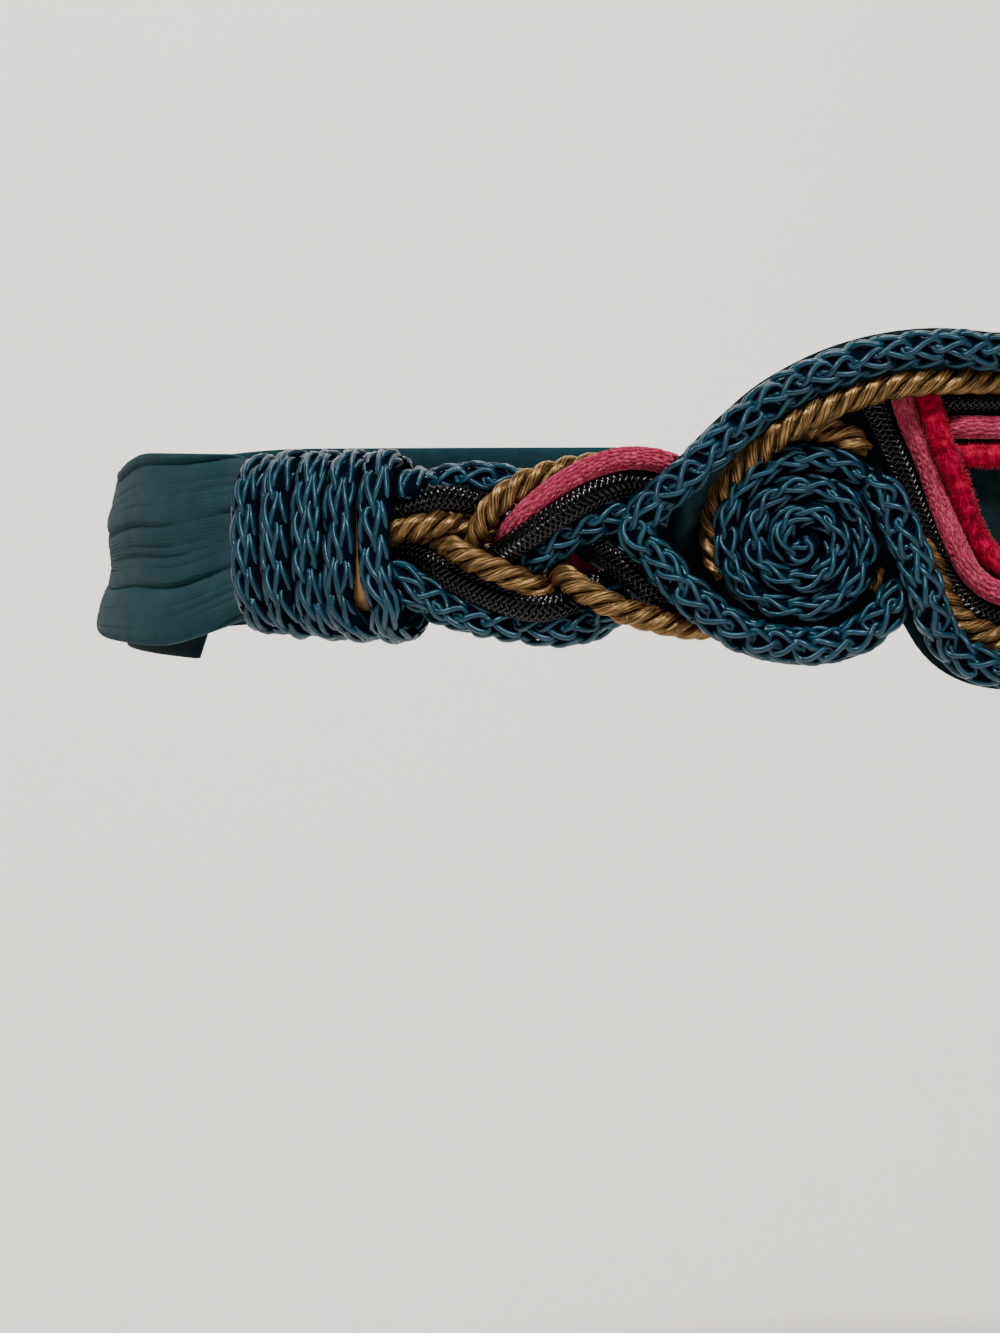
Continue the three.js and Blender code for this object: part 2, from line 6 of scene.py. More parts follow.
import bpy
import numpy as np
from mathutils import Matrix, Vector


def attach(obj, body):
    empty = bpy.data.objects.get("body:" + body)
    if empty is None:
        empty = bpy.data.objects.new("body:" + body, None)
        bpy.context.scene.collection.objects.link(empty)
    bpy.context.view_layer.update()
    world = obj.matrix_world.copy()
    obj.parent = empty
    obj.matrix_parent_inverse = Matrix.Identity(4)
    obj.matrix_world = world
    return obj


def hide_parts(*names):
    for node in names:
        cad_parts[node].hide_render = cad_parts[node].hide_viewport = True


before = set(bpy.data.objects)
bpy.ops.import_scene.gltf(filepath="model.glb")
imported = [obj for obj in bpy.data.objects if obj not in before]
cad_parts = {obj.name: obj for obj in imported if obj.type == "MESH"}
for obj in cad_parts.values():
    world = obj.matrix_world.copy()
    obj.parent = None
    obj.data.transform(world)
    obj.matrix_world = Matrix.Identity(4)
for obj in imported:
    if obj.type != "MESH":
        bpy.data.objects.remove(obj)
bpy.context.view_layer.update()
MM = 0.001

# Studio: a pale floor that curves up behind the belt, a soft light from above on the left, a
# weaker one from the right, one from behind, one for the backdrop, and a camera level with the belt.
CAMERA_PLACE = (-0.16538, -0.57676, 0.018)
CAMERA_PAN = math.radians(10.231)
CAMERA_PITCH = math.radians(4.005)
CAMERA_LENS = 93.8
FILM_HEIGHT = 36
NEAREST_SEEN = 0.01


def linked(name, data):
    made = bpy.data.objects.new(name, data)
    bpy.context.scene.collection.objects.link(made)
    return made


camera = linked("camera", bpy.data.cameras.new("camera"))
camera.data.lens = CAMERA_LENS
camera.data.sensor_fit = "VERTICAL"
camera.data.sensor_height = FILM_HEIGHT
camera.data.clip_start = NEAREST_SEEN
camera.location = CAMERA_PLACE
camera.rotation_euler = (math.pi / 2 - CAMERA_PITCH, 0, -CAMERA_PAN)
bpy.context.scene.camera = camera

FLOOR_HEIGHT = -0.22
FLOOR_HALF_WIDTH = 5.0
FLOOR_FRONT = -5.0
BACKDROP_START = 0.5
BACKDROP_BEND = 0.6
BACKDROP_TOP = 2.6
BACKDROP_STEPS = 12
FLOOR_COLOR = (0.86, 0.83, 0.79, 1)


def backdrop_profile():
    points = [(FLOOR_FRONT, FLOOR_HEIGHT)]
    for step in range(BACKDROP_STEPS + 1):
        angle = math.pi / 2 * step / BACKDROP_STEPS
        points.append((
            BACKDROP_START + BACKDROP_BEND * math.sin(angle),
            FLOOR_HEIGHT + BACKDROP_BEND * (1 - math.cos(angle)),
        ))
    return points + [(BACKDROP_START + BACKDROP_BEND, BACKDROP_TOP)]


profile = backdrop_profile()
corners = [(x, y, z) for x in (-FLOOR_HALF_WIDTH, FLOOR_HALF_WIDTH) for y, z in profile]
count = len(profile)
floor_mesh = bpy.data.meshes.new("floor")
floor_mesh.from_pydata(corners, [], [(i, i + count, i + count + 1, i + 1) for i in range(count - 1)])
floor_mesh.shade_smooth()
floor = linked("floor", floor_mesh)


class Finish:
    """A material, with short ways to add nodes to it and to join them."""

    def __init__(self, name, **settings):
        self.material = bpy.data.materials.new(name)
        self.material.use_nodes = True
        self.tree = self.material.node_tree
        self.shader = self.tree.nodes["Principled BSDF"]
        for socket, value in settings.items():
            self.shader.inputs[socket.replace("_", " ")].default_value = value

    def node(self, kind, links=None, **values):
        made = self.tree.nodes.new("ShaderNode" + kind)
        for name, value in values.items():
            if hasattr(made, name):
                setattr(made, name, value)
            else:
                made.inputs[name.replace("_", " ")].default_value = value
        for name, source in (links or {}).items():
            self.tree.links.new(source, made.inputs[name])
        return made

    def math(self, operation, first, second=None):
        made = self.node("Math", operation=operation)
        for socket, value in zip(made.inputs, (first, second)):
            if isinstance(value, (int, float)):
                socket.default_value = value
            elif value is not None:
                self.tree.links.new(value, socket)
        return made.outputs[0]

    def ramp(self, value, stops):
        made = self.node("ValToRGB", {"Fac": value})
        elements = made.color_ramp.elements
        while len(elements) < len(stops):
            elements.new(0.5)
        for element, (position, color) in zip(elements, stops):
            element.position = position
            element.color = (*color, 1)
        return made.outputs["Color"]

    def noise(self, scale, detail=2.0, roughness=0.5, where=None):
        links = {"Vector": where or self.object_place()}
        made = self.node("TexNoise", links, Scale=scale, Detail=detail, Roughness=roughness)
        return made.outputs["Fac"]

    def object_place(self):
        return self.node("TexCoord").outputs["Object"]

    def run_place(self):
        """How far along a thread in millimetres (X), and how far round it as a share (Y)."""
        run_map = self.node("UVMap", uv_map="run").outputs["UV"]
        return self.node("SeparateXYZ", {"Vector": run_map}).outputs

    def shade(self, socket, source):
        self.tree.links.new(source, self.shader.inputs[socket])

    def bump(self, height, strength, distance):
        made = self.node("Bump", {"Height": height}, Strength=strength, Distance=distance)
        self.shade("Normal", made.outputs["Normal"])


floor_finish = Finish("pale_floor", Base_Color=FLOOR_COLOR, Roughness=0.9)
floor_finish.bump(floor_finish.noise(220.0), 0.02, 0.001)
floor_mesh.materials.append(floor_finish.material)


def soft_light(name, place, size, power, color, aim=(0, 0, 0)):
    lamp = bpy.data.lights.new(name, "AREA")
    lamp.shape = "DISK"
    lamp.size = size
    lamp.energy = power
    lamp.color = color
    made = linked(name, lamp)
    made.location = place
    made.rotation_euler = (Vector(aim) - Vector(place)).to_track_quat("-Z", "Y").to_euler()


soft_light("key_light", (-0.35, -0.85, 1.1), 0.24, 36, (1, 0.97, 0.93))
soft_light("fill_light", (0.9, -1.1, 0.4), 0.6, 4, (0.93, 0.97, 1))
soft_light("back_light", (0.2, 1.0, 1.1), 0.8, 2, (1, 0.98, 0.95))
soft_light("wall_light", (0.0, 0.5, 1.3), 1.2, 26, (1, 0.97, 0.94), aim=(0.0, 2.2, 0.55))
world = bpy.data.worlds.new("studio_air")
world.use_nodes = True
air = world.node_tree.nodes["Background"]
air.inputs["Color"].default_value = (0.9, 0.95, 1, 1)
air.inputs["Strength"].default_value = 0.12
bpy.context.scene.world = world

# How the cords lie: each is sewn down along a listed route, in millimetres as (u, v, w),
# and where two would touch they give way, mostly by rising over or sinking under each other.
WAIST_HALF_WIDTH = 122 * MM
WAIST_HALF_DEPTH = 92 * MM
HIP_FLARE_RADIUS = 160 * MM
BACKING_THICK = 1.2 * MM
SEWN_SEAT = 1.5 * MM
BACKING_CORNER = -59.6 * MM
WAIST_POINTS = 2881
# Half the width and half the thickness of each kind of cord
TEAL = (2.75 * MM, 2.5 * MM)
GOLD = (1.9 * MM, 1.9 * MM)
THIN_GOLD = (1.2 * MM, 1.2 * MM)
BLACK = (1.8 * MM, 1.05 * MM)
THIN_BLACK = (1.0 * MM, 1.0 * MM)
ROSE = (1.75 * MM, 1.65 * MM)
RED = (1.5 * MM, 1.5 * MM)

waist_angle = np.linspace(-math.pi / 2, 1.5 * math.pi, WAIST_POINTS)
waist_steps = np.hypot(
    np.diff(WAIST_HALF_WIDTH * np.cos(waist_angle)), np.diff(WAIST_HALF_DEPTH * np.sin(waist_angle))
)
waist_run = np.concatenate([[0], np.cumsum(waist_steps)])
WAIST_LENGTH = waist_run[-1]


def unit(vectors):
    return vectors / np.maximum(np.linalg.norm(vectors, axis=-1, keepdims=True), 1e-12)


def waist_out(u):
    angle = np.interp(np.mod(u, WAIST_LENGTH), waist_run, waist_angle)
    out = np.stack([
        WAIST_HALF_DEPTH * np.cos(angle), WAIST_HALF_WIDTH * np.sin(angle), np.zeros_like(angle),
    ], -1)
    return unit(out)


def place(flat):
    """Points (u, v, w) of the belt as points in space."""
    u, v, w = np.moveaxis(np.asarray(flat, float), -1, 0)
    angle = np.interp(np.mod(u, WAIST_LENGTH), waist_run, waist_angle)
    foot = np.stack([WAIST_HALF_WIDTH * np.cos(angle), WAIST_HALF_DEPTH * np.sin(angle), v], -1)
    return foot + waist_out(u) * (w + v * v / (2 * HIP_FLARE_RADIUS))[..., None]


ROUTES = {
    "upper_cord": (TEAL, "middle", [
        (-19.8, -4.6, 3.2), (-20.6, -7, 4.2), (-22.1, -9.4, 4.6), (-24.8, -12, 4.4),
        (-28.6, -13.5, 4.3), (-33.2, -13.9, 4.3), (-38, -13.3, 4.8), (-41.8, -12, 6),
        (-45.7, -9.3, 7.8), (-49.2, -5.9, 9), (-52.7, -1.9, 9.4), (-55.4, 1.4, 9.6), (-55.4, 3.6, 9.6),
        (-53.3, 6.6, 9.4), (-50, 9.7, 8.8), (-45.2, 14.5, 7.6), (-41.2, 17.9, 6.6), (-36.2, 21.8, 6),
        (-29.5, 25.4, 5.8), (-22.7, 27.4, 5.8), (-15, 28.2, 5.8), (-7, 27.9, 5.8), (0, 27.6, 5.8),
    ]),
    "lower_cord": (TEAL, "middle", [
        (-24.9, 10.6, 4.9), (-22.1, 7.6, 5.2), (-19.9, 3.2, 5.6), (-18.4, -1.4, 5.8), (-17.1, -5.5, 5.8),
        (-15.7, -9.4, 5.6), (-13.7, -12.8, 5.2), (-11.2, -15.2, 5.2), (-8.3, -16.7, 5.2),
        (-5.0, -17.4, 5.2), (0, -17.7, 5.2),
    ]),
    "gold_rope_top": (GOLD, "middle", [
        (-44.3, -4.4, 2.3), (-45.8, 0.8, 2.5), (-45.5, 5, 2.8), (-43.9, 8.8, 3.2), (-41.2, 12.1, 3.5),
        (-37.9, 15.5, 4), (-34.5, 17.9, 4.4), (-30.8, 20, 4.4), (-26.4, 21.9, 4), (-20, 23.7, 3.6),
        (-13, 24.3, 3.5), (-6, 24.2, 3.5), (0, 24.1, 3.5),
    ]),
    "rosette_rope": (GOLD, "side", [
        (-34.4, 15.9, 3), (-31.4, 16.9, 3.4), (-28.4, 16.4, 3.4), (-25.8, 15.2, 3.2),
        (-23.9, 13.9, 2.6),
    ]),
    "rope_end": (THIN_GOLD, "side", [(-21.0, -3.2, 2.8), (-21.3, -4.8, 2.8), (-22.2, -6.4, 2.8)]),
    "gold_rope_bottom": (GOLD, "middle", [
        (-16.3, 1.4, 2.4), (-15.1, -2.2, 2.9), (-14, -5.4, 3.3), (-12.4, -8.4, 3.4), (-9.9, -11, 3.4),
        (-6.8, -12.5, 3.4), (-3.4, -13.3, 3.4), (0, -13.5, 3.4),
    ]),
    "black_bow": (BLACK, "middle", [
        (-24, 21.4, 2.2), (-23, 19.3, 2.6), (-22, 17, 2.6), (-20.4, 13.8, 2.6), (-18.5, 10.2, 2.6),
        (-16.8, 6.2, 2.6), (-15.2, 2, 2.6), (-13.3, -2.3, 2.6), (-10.7, -6.1, 2.6), (-7.3, -8.8, 2.6),
        (-3.6, -10, 2.6), (0, -10.3, 2.6),
    ]),
    "rose_bow": (ROSE, "middle", [
        (-19.7, 22.9, 2.8), (-18.9, 20.2, 3.3), (-17.5, 16.8, 3.3), (-15.8, 13.2, 3.3),
        (-14.2, 9.2, 3.3), (-12.7, 4.8, 3.6), (-11.2, 0.4, 4), (-9.4, -3.3, 4.2), (-6.5, -5.9, 4.2),
        (-3.3, -6.9, 4.2), (0, -7.1, 4.2),
    ]),
    "red_bow": (RED, "middle", [
        (-16, 23.6, 2.8), (-15.5, 20.9, 3.4), (-14.6, 17.2, 3.4), (-13.3, 12.8, 3.4), (-11.9, 8.6, 3.4),
        (-10.4, 4.6, 3.4), (-8.4, 1, 3.4), (-5.7, -1.8, 3.4), (-2.8, -3.5, 3.4), (0, -4.1, 3.4),
    ]),
    "black_bar": (THIN_BLACK, "middle", [
        (-13.4, 20.8, 1.9), (-11.6, 20.8, 2.6), (-6, 20.9, 2.6), (0, 20.9, 2.6),
    ]),
    "rose_bar": (ROSE, "middle", [(-12.6, 17.4, 2.2), (-10.8, 17.4, 3.1), (-6, 17.4, 3.2), (0, 17.4, 3.2)]),
    "red_bar": (RED, "middle", [(-11.3, 13.4, 2.1), (-9.5, 13.4, 3), (-5, 13.4, 3.1), (0, 13.4, 3.1)]),
    "plait_a_teal": (TEAL, "side", [
        (-92.4, 6.8, 7), (-87.8, 7.9, 6.8), (-85, 8.7, 6.8), (-82, 9.1, 6.4), (-78.4, 9.2, 5.4),
        (-74.6, 8.6, 4), (-70.6, 6.8, 2.8), (-66.4, 4.4, 2.8), (-62.8, 2.6, 2.8), (-60, 1.6, 2.8),
        (-57.4, 1, 2.8),
    ]),
    "plait_a_black": (BLACK, "side", [
        (-92.4, 4.6, 8.2), (-87.8, 5.5, 8.4), (-85.4, 6.1, 8.4), (-82.6, 6.5, 7.8), (-79.2, 6.1, 6),
        (-75.6, 3.8, 3.4), (-71.4, 0, 1.6), (-67.6, -1.3, 1.6), (-64.6, -0.4, 2.8), (-61.8, 0.1, 5.2),
        (-59.2, -1.5, 6.4), (-56.8, -3.9, 6.2), (-54.8, -6.1, 5.2), (-53, -8.1, 4.2), (-51, -9.6, 3.2),
    ]),
    "plait_a_gold": (GOLD, "side", [
        (-92.4, 1.8, 9.8), (-87.8, 2.6, 10.2), (-85.6, 3.3, 10.2), (-83.2, 3.9, 9.2), (-81, 3.8, 7.2),
        (-78.4, 2.6, 4.6), (-75.2, 0.8, 2.8), (-72.2, -0.9, 2.6), (-69.4, -3.1, 3.8), (-66.6, -5, 6.6),
        (-63.4, -6.3, 8.8), (-60, -7.6, 8.8), (-56.8, -8.8, 7.6), (-53.6, -9.7, 6.2),
        (-50.6, -10.3, 4.8), (-47.6, -10.8, 3.8), (-44.6, -11.2, 3.2),
    ]),
    "plait_a_rose": (ROSE, "side", [
        (-74.6, 1.2, 1.8), (-71.6, 0, 1.8), (-68.8, -1.3, 1.8), (-66, -2.8, 2.2), (-63.4, -4.6, 2.8),
        (-60.8, -6.6, 2.6), (-58.2, -8.2, 2.4), (-55.4, -9.6, 2.4), (-52.2, -10.7, 2.4),
        (-49, -11.2, 2.2), (-46.2, -11.2, 2), (-44, -11, 2),
    ]),
    "plait_b_gold": (GOLD, "side", [
        (-92.4, 0.2, 5.8), (-87.8, 0.2, 5.8), (-85.4, 0.4, 6), (-82.8, 0.2, 7.2), (-80.2, -0.7, 8.8),
        (-77.2, -1.8, 9.2), (-73.6, -3.1, 8.8), (-70.2, -4.3, 7.6), (-67, -5.4, 6), (-64, -6.2, 4.4),
        (-61.2, -7, 2.6),
    ]),
    "plait_b_black": (BLACK, "side", [
        (-92.4, -1.4, 6.6), (-87.8, -1.6, 7.2), (-85.8, -2.2, 8.2), (-83.6, -3.2, 9),
        (-80.6, -4.9, 9.4), (-77, -6.3, 9.2), (-73, -7.3, 8.8), (-69, -7.8, 7.6), (-65.2, -7.6, 5.6),
        (-61.4, -6.4, 3.2), (-58.4, -5, 1.8), (-55.4, -5, 1.6), (-52.4, -6.4, 1.6), (-49.8, -7.8, 1.6),
    ]),
    "plait_b_teal": (TEAL, "side", [
        (-92.4, -3.6, 8.8), (-87.8, -4.6, 9.2), (-86, -5.9, 8.9), (-83.2, -7.9, 8), (-79.6, -9.6, 7.2),
        (-75, -10.6, 6.8), (-70, -10.7, 5.8), (-65.6, -9.9, 4.4), (-61.8, -8.6, 3.2),
        (-58.6, -7.4, 2.8), (-55.8, -6.4, 2.8),
    ]),
    "plait_c_gold": (GOLD, "side", [
        (-87.8, 2.2, 2.3), (-85.4, 1.8, 2.3), (-82.8, 0.6, 2.5), (-80, -0.8, 3.2), (-77.8, 0.4, 5.4),
        (-76.8, 2.7, 8), (-75.2, 5.5, 9.2), (-72.6, 8, 9.2), (-69.3, 10, 7.8), (-65.6, 11.3, 5.4),
        (-61.6, 11.9, 3.6), (-57.8, 11.8, 2.8), (-54.4, 11.4, 2.6), (-51, 11, 2.6),
    ]),
    "plait_c_rose": (ROSE, "side", [
        (-87.8, -1.6, 2), (-85.4, -2.6, 2), (-82.8, -3.6, 2.1), (-80, -3.6, 2.4), (-77, -1.6, 3.8),
        (-74.9, 1, 6.6), (-72.7, 3.8, 8.8), (-69.6, 6.7, 9.4), (-65.6, 9.6, 9.2), (-61.3, 11.8, 8.2),
        (-57.4, 12.8, 6.8), (-54, 12.5, 5.4), (-50.8, 11.4, 4.4),
    ]),
    "plait_c_black": (BLACK, "side", [
        (-87.8, -5, 6), (-85.4, -5, 6), (-82.4, -4.8, 5.8), (-79.4, -3.8, 5.6), (-76.4, -2.4, 5.6),
        (-73.9, -0.9, 6.8), (-71.1, 1, 8.8), (-67.6, 3.6, 9.4), (-63.7, 6.3, 9), (-59.8, 8.5, 7.6),
        (-56.2, 9.5, 6), (-52.8, 9.4, 5),
    ]),
    "plait_c_teal": (TEAL, "side", [
        (-87.8, -6.2, 2.8), (-84.6, -7, 2.8), (-81.2, -7.2, 2.8), (-78, -6.6, 2.8), (-74.8, -5.4, 4.2),
        (-71.6, -3.2, 6.2), (-68, -0.4, 7), (-64.6, 2.1, 6.8), (-61.2, 3.9, 5.8), (-58.2, 4.6, 4.4),
        (-55.2, 4.4, 3.4), (-52.4, 4, 2.8),
    ]),
}
BEAD_STEP = 1.5 * MM
LINE_STEP = 0.3 * MM
CURVE_POINTS = 33
SETTLE_ROUNDS = 300
SETTLE_REACH = 14 * MM
LAY_GAP = 0.1 * MM
HOLD_SIDEWAYS = 0.08
HOLD_HEIGHT = 0.012
SIDEWAYS_SHARE = 0.4
STIFFNESS = 0.3
YIELD = 0.35
HOLD_UNTIL = 0.85

# The rosettes' coils lie still, and the loose cords give way to them
COIL_HALF = 1.85 * MM
COIL_THICK = 2.7 * MM
COIL_PITCH = 4.0 * MM
COIL_INNER_RADIUS = 2.15 * MM
COIL_TURNS = 2.55
COIL_END_ANGLE = math.radians(50)
COIL_BEAD_TURN = 0.03
COIL_OUTER_TURNS = 1.3
ROSETTE_PLACE = (-33.2 * MM, 1.2 * MM)


def run_along(points):
    """How far along a row of points each of them lies."""
    return np.concatenate([[0], np.cumsum(np.linalg.norm(np.diff(points, axis=0), axis=1))])


def through(points, step):
    """Points a step apart on the centripetal curve through these points."""
    points = np.asarray(points, float)
    whole = np.vstack([2 * points[0] - points[1], points, 2 * points[-1] - points[-2]])
    spacing = np.sqrt(np.linalg.norm(np.diff(whole, axis=0), axis=1))
    fine = []
    for i in range(len(points) - 1):
        before, start, end, after = whole[i:i + 4]
        first, span, last = spacing[i:i + 3]
        leave = span * ((start - before) / first - (end - before) / (first + span) + (end - start) / span)
        arrive = span * ((end - start) / span - (after - start) / (span + last) + (after - end) / last)
        t = np.linspace(0, 1, CURVE_POINTS)[:, None]
        fine.append(
            (2 * t**3 - 3 * t**2 + 1) * start + (t**3 - 2 * t**2 + t) * leave
            + (3 * t**2 - 2 * t**3) * end + (t**3 - t**2) * arrive
        )
    fine = np.vstack([fine[0][:1]] + [part[1:] for part in fine])
    run = run_along(fine)
    places = np.linspace(0, run[-1], max(4, round(run[-1] / step) + 1))
    return np.stack([np.interp(places, run, fine[:, k]) for k in range(3)], 1)


def coil_points(turns_back):
    """The rosette's cord, counted back from its outer end."""
    angle = COIL_END_ANGLE + turns_back * 2 * math.pi
    radius = COIL_INNER_RADIUS + COIL_PITCH * (COIL_TURNS - turns_back)
    return np.stack([
        ROSETTE_PLACE[0] + radius * np.cos(angle),
        ROSETTE_PLACE[1] + radius * np.sin(angle),
        np.full_like(angle, SEWN_SEAT + COIL_THICK),
    ], -1)


def contact_radius(half, thick, flat_share):
    return 1 / np.sqrt(flat_share / half**2 + (1 - flat_share) / thick**2)


def settled(routes):
    """The beads of each cord after all of them have given way to each other."""
    starts = [through(np.array(route) * MM, BEAD_STEP) for _, _, route in routes.values()]
    coil = coil_points(np.arange(COIL_BEAD_TURN, COIL_OUTER_TURNS, COIL_BEAD_TURN))
    sizes = [kind for kind, _, _ in routes.values()] + [(COIL_HALF, COIL_THICK)]
    groups = starts + [coil]
    owner = np.concatenate([np.full(len(g), i) for i, g in enumerate(groups)])
    half, thick = (np.array([sizes[i][k] for i in owner]) for k in (0, 1))
    start = np.vstack(groups)
    at = start.copy()
    free = owner < len(starts)
    seat = np.where(at[:, 0] > BACKING_CORNER, SEWN_SEAT, 0) + thick
    far = np.linalg.norm(start[:, None] - start[None], axis=2)
    # The top rope is tucked under the rosette, so these two don't push each other
    tucked = owner == list(routes).index("gold_rope_top")
    far[np.ix_(tucked, ~free)] = far[np.ix_(~free, tucked)] = math.inf
    near = (far < SETTLE_REACH) & (owner[:, None] != owner[None]) & (free[:, None] | free[None])
    a, b = np.nonzero(np.triu(near))
    share_a = np.where(free[b], 0.5, 1.0) * free[a]
    share_b = np.where(free[a], 0.5, 1.0) * free[b]
    ends = np.flatnonzero(np.diff(owner)) + 1
    for turn in range(SETTLE_ROUNDS):
        apart = at[a] - at[b]
        distance = np.linalg.norm(apart, axis=1) + 1e-9
        flat_share = (apart[:, 0] ** 2 + apart[:, 1] ** 2) / distance**2
        wanted = sum(contact_radius(half[i], thick[i], flat_share) for i in (a, b))
        push = YIELD * np.clip(wanted + LAY_GAP - distance, 0, None) / distance
        apart = apart * push[:, None] * (SIDEWAYS_SHARE, SIDEWAYS_SHARE, 1)
        np.add.at(at, a, apart * share_a[:, None])
        np.add.at(at, b, -apart * share_b[:, None])
        holding = turn < HOLD_UNTIL * SETTLE_ROUNDS
        shift = at - start
        for piece in np.split(np.arange(len(at)), ends):
            if not free[piece[0]]:
                continue
            own = shift[piece]
            even = (np.vstack([own[:1], own[:-1]]) + np.vstack([own[1:], own[-1:]])) / 2
            own = own + STIFFNESS * (even - own)
            if holding:
                own = own * (1 - HOLD_SIDEWAYS, 1 - HOLD_SIDEWAYS, 1 - HOLD_HEIGHT)
            at[piece] = start[piece] + own
        at[:, 2] = np.where(free, np.maximum(at[:, 2], seat), at[:, 2])
    return dict(zip(routes, np.split(at, ends)[: len(starts)]))


beads = settled(ROUTES)


class Line:
    """A cord's middle line in space, with the directions across it and out of it."""

    def __init__(self, flat, out=None):
        self.point = place(flat)
        along = unit(np.gradient(self.point, axis=0))
        self.side = unit(np.cross(waist_out(flat[:, 0]) if out is None else out, along))
        self.up = np.cross(along, self.side)
        self.run = run_along(self.point)
        self.length = self.run[-1]

    def _take(self, values, run):
        return np.stack([np.interp(run, self.run, values[:, k]) for k in range(3)], -1)

    def lean(self, run, side, up):
        """From the middle line, this far across and out."""
        return self._take(self.side, run) * side[..., None] + self._take(self.up, run) * up[..., None]

    def at(self, run, side, up):
        return self._take(self.point, run) + self.lean(run, side, up)

    def middle(self, step):
        """Places a step apart on the middle line: how far along, where, and which way is out."""
        run = np.arange(0, self.length, step)
        zero = np.zeros_like(run)
        return run, self.at(run, zero, zero), self.lean(run, zero, zero + 1)


def cord_line(name, mirror):
    """A cord's line: a middle one runs on as its own mirror past the centre front."""
    _, reach, _ = ROUTES[name]
    flat = beads[name]
    if reach == "middle":
        flat[-1, 0] = 0
        flat = np.vstack([flat, flat[-2::-1] * (-1, 1, 1)])
    elif mirror < 0:
        flat = flat * (-1, 1, 1)
    return Line(through(flat, LINE_STEP))


BOTH_SIDES = (("left", 1), ("right", -1))


def sides_of(name):
    """The pieces of this name: one, or a left one and its mirror."""
    if ROUTES[name][1] == "middle":
        return [(name, 1)]
    return [(name + "_" + side, mirror) for side, mirror in BOTH_SIDES]


# Knitted cord: a dark teal tube of four wales, knitted loosely from one glossy gimp in crossed
# stitches, so that long legs stand out one over the other and dark gaps show between them, where
# a near-black heart carries painted shade.
GIMP_RADIUS = 0.47 * MM
CORD_WALES = 4
ROW_PITCH = 3.9 * MM
LOOP_DEPTH = 0.5 * MM
LOOP_STEPS = 2
GIMP_SIDES = 6
CORD_SWELL = 0.2 * MM
FIRST_ROW = 0.45
ROWS_LEFT_OFF = 0.4
HEART = (0.62, 0.55)
HEART_STEP = 1.2 * MM
HEART_SIDES = 8
WANDER_WAVES = 5
WINDINGS_PER_MM = 3.6
# One stitch from sinker to sinker: share of a wale across, share of a row up, and depth
STITCH = np.array([
    (-0.50, -0.62, -1.3), (0.14, -0.62, -0.5), (0.06, -0.30, 0.7), (-0.20, 0.12, 1.0),
    (-0.39, 0.50, 0.7), (-0.33, 0.72, -0.3), (0.00, 0.76, -1.2), (0.33, 0.74, -0.3),
    (0.41, 0.52, 0.7), (0.24, 0.12, 1.0), (0.02, -0.24, -0.1), (-0.16, -0.58, -1.0),
])


class Weave:
    """Collects the tubes and sheets of one piece, and makes the piece of them."""

    def __init__(self):
        self.points = []
        self.faces = []
        self.uvs = []
        self.marks = []
        self.total = 0

    def grid(self, points, uvs, mark=0, round_way=False):
        """Quads over a grid of points; round_way joins its last row to its first."""
        rows, columns = points.shape[:2]
        index = self.total + np.arange(rows * columns).reshape(rows, columns)
        right = np.roll(index, -1, axis=1) if round_way else index[:, 1:]
        left = index if round_way else index[:, :-1]
        quads = np.stack([left[:-1], right[:-1], right[1:], left[1:]], -1).reshape(-1, 4)
        near, following = uvs[:, :-1], uvs[:, 1:]
        corner_uvs = np.stack([near[:-1], following[:-1], following[1:], near[1:]], 2)
        self.points.append(points.reshape(-1, 3))
        self.faces.extend(quads.tolist())
        self.uvs.append(corner_uvs.reshape(-1, 2))
        self.marks.extend([mark] * len(quads))
        self.total += rows * columns
        return index

    def face(self, corners, mark=0):
        self.faces.append([int(i) for i in corners])
        self.uvs.append(np.zeros((len(corners), 2)))
        self.marks.append(mark)

    def tube(self, centre, lean, half, thick=None, sides=GIMP_SIDES, mark=0, flute=0.0):
        """A tube of this half width and half thickness, whose upper side faces along lean."""
        along = unit(np.gradient(centre, axis=0))
        across = unit(np.cross(lean, along))
        out = np.cross(along, across)
        turn = 2 * math.pi * np.arange(sides) / sides
        fluted = (1 - flute * (np.arange(sides) % 2))[None, :, None]
        half = np.broadcast_to(half, len(centre))[:, None, None]
        thick = half if thick is None else np.broadcast_to(thick, len(centre))[:, None, None]
        ring = (
            centre[:, None] + across[:, None] * half * fluted * np.cos(turn)[None, :, None]
            + out[:, None] * thick * fluted * np.sin(turn)[None, :, None]
        )
        run = run_along(centre) / MM
        uvs = np.stack(np.meshgrid(run, np.arange(sides + 1) / sides, indexing="ij"), -1)
        index = self.grid(ring, uvs, mark, round_way=True)
        self.face(index[0][::-1], mark)
        self.face(index[-1], mark)

    def piece(self, name, finishes, slot, node):
        mesh = bpy.data.meshes.new(name)
        mesh.from_pydata(np.vstack(self.points).tolist(), [], self.faces)
        mesh.uv_layers.new(name="run").data.foreach_set("uv", np.vstack(self.uvs).ravel())
        mesh.polygons.foreach_set("material_index", self.marks)
        for finish in finishes:
            mesh.materials.append(finish.material)
        mesh.shade_smooth()
        made = linked(name, mesh)
        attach(made, "root")
        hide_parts(node)
        return made


def cords(names, kind, finishes, slot):
    """Each piece of these cords in turn: its weave is filled by the caller, then made a piece."""
    for order, name in enumerate(names):
        for node, mirror in sides_of(name):
            weave = Weave()
            yield order, ROUTES[name][0], weave, cord_line(name, mirror)
            weave.piece(kind + "_" + node, finishes, slot, node)


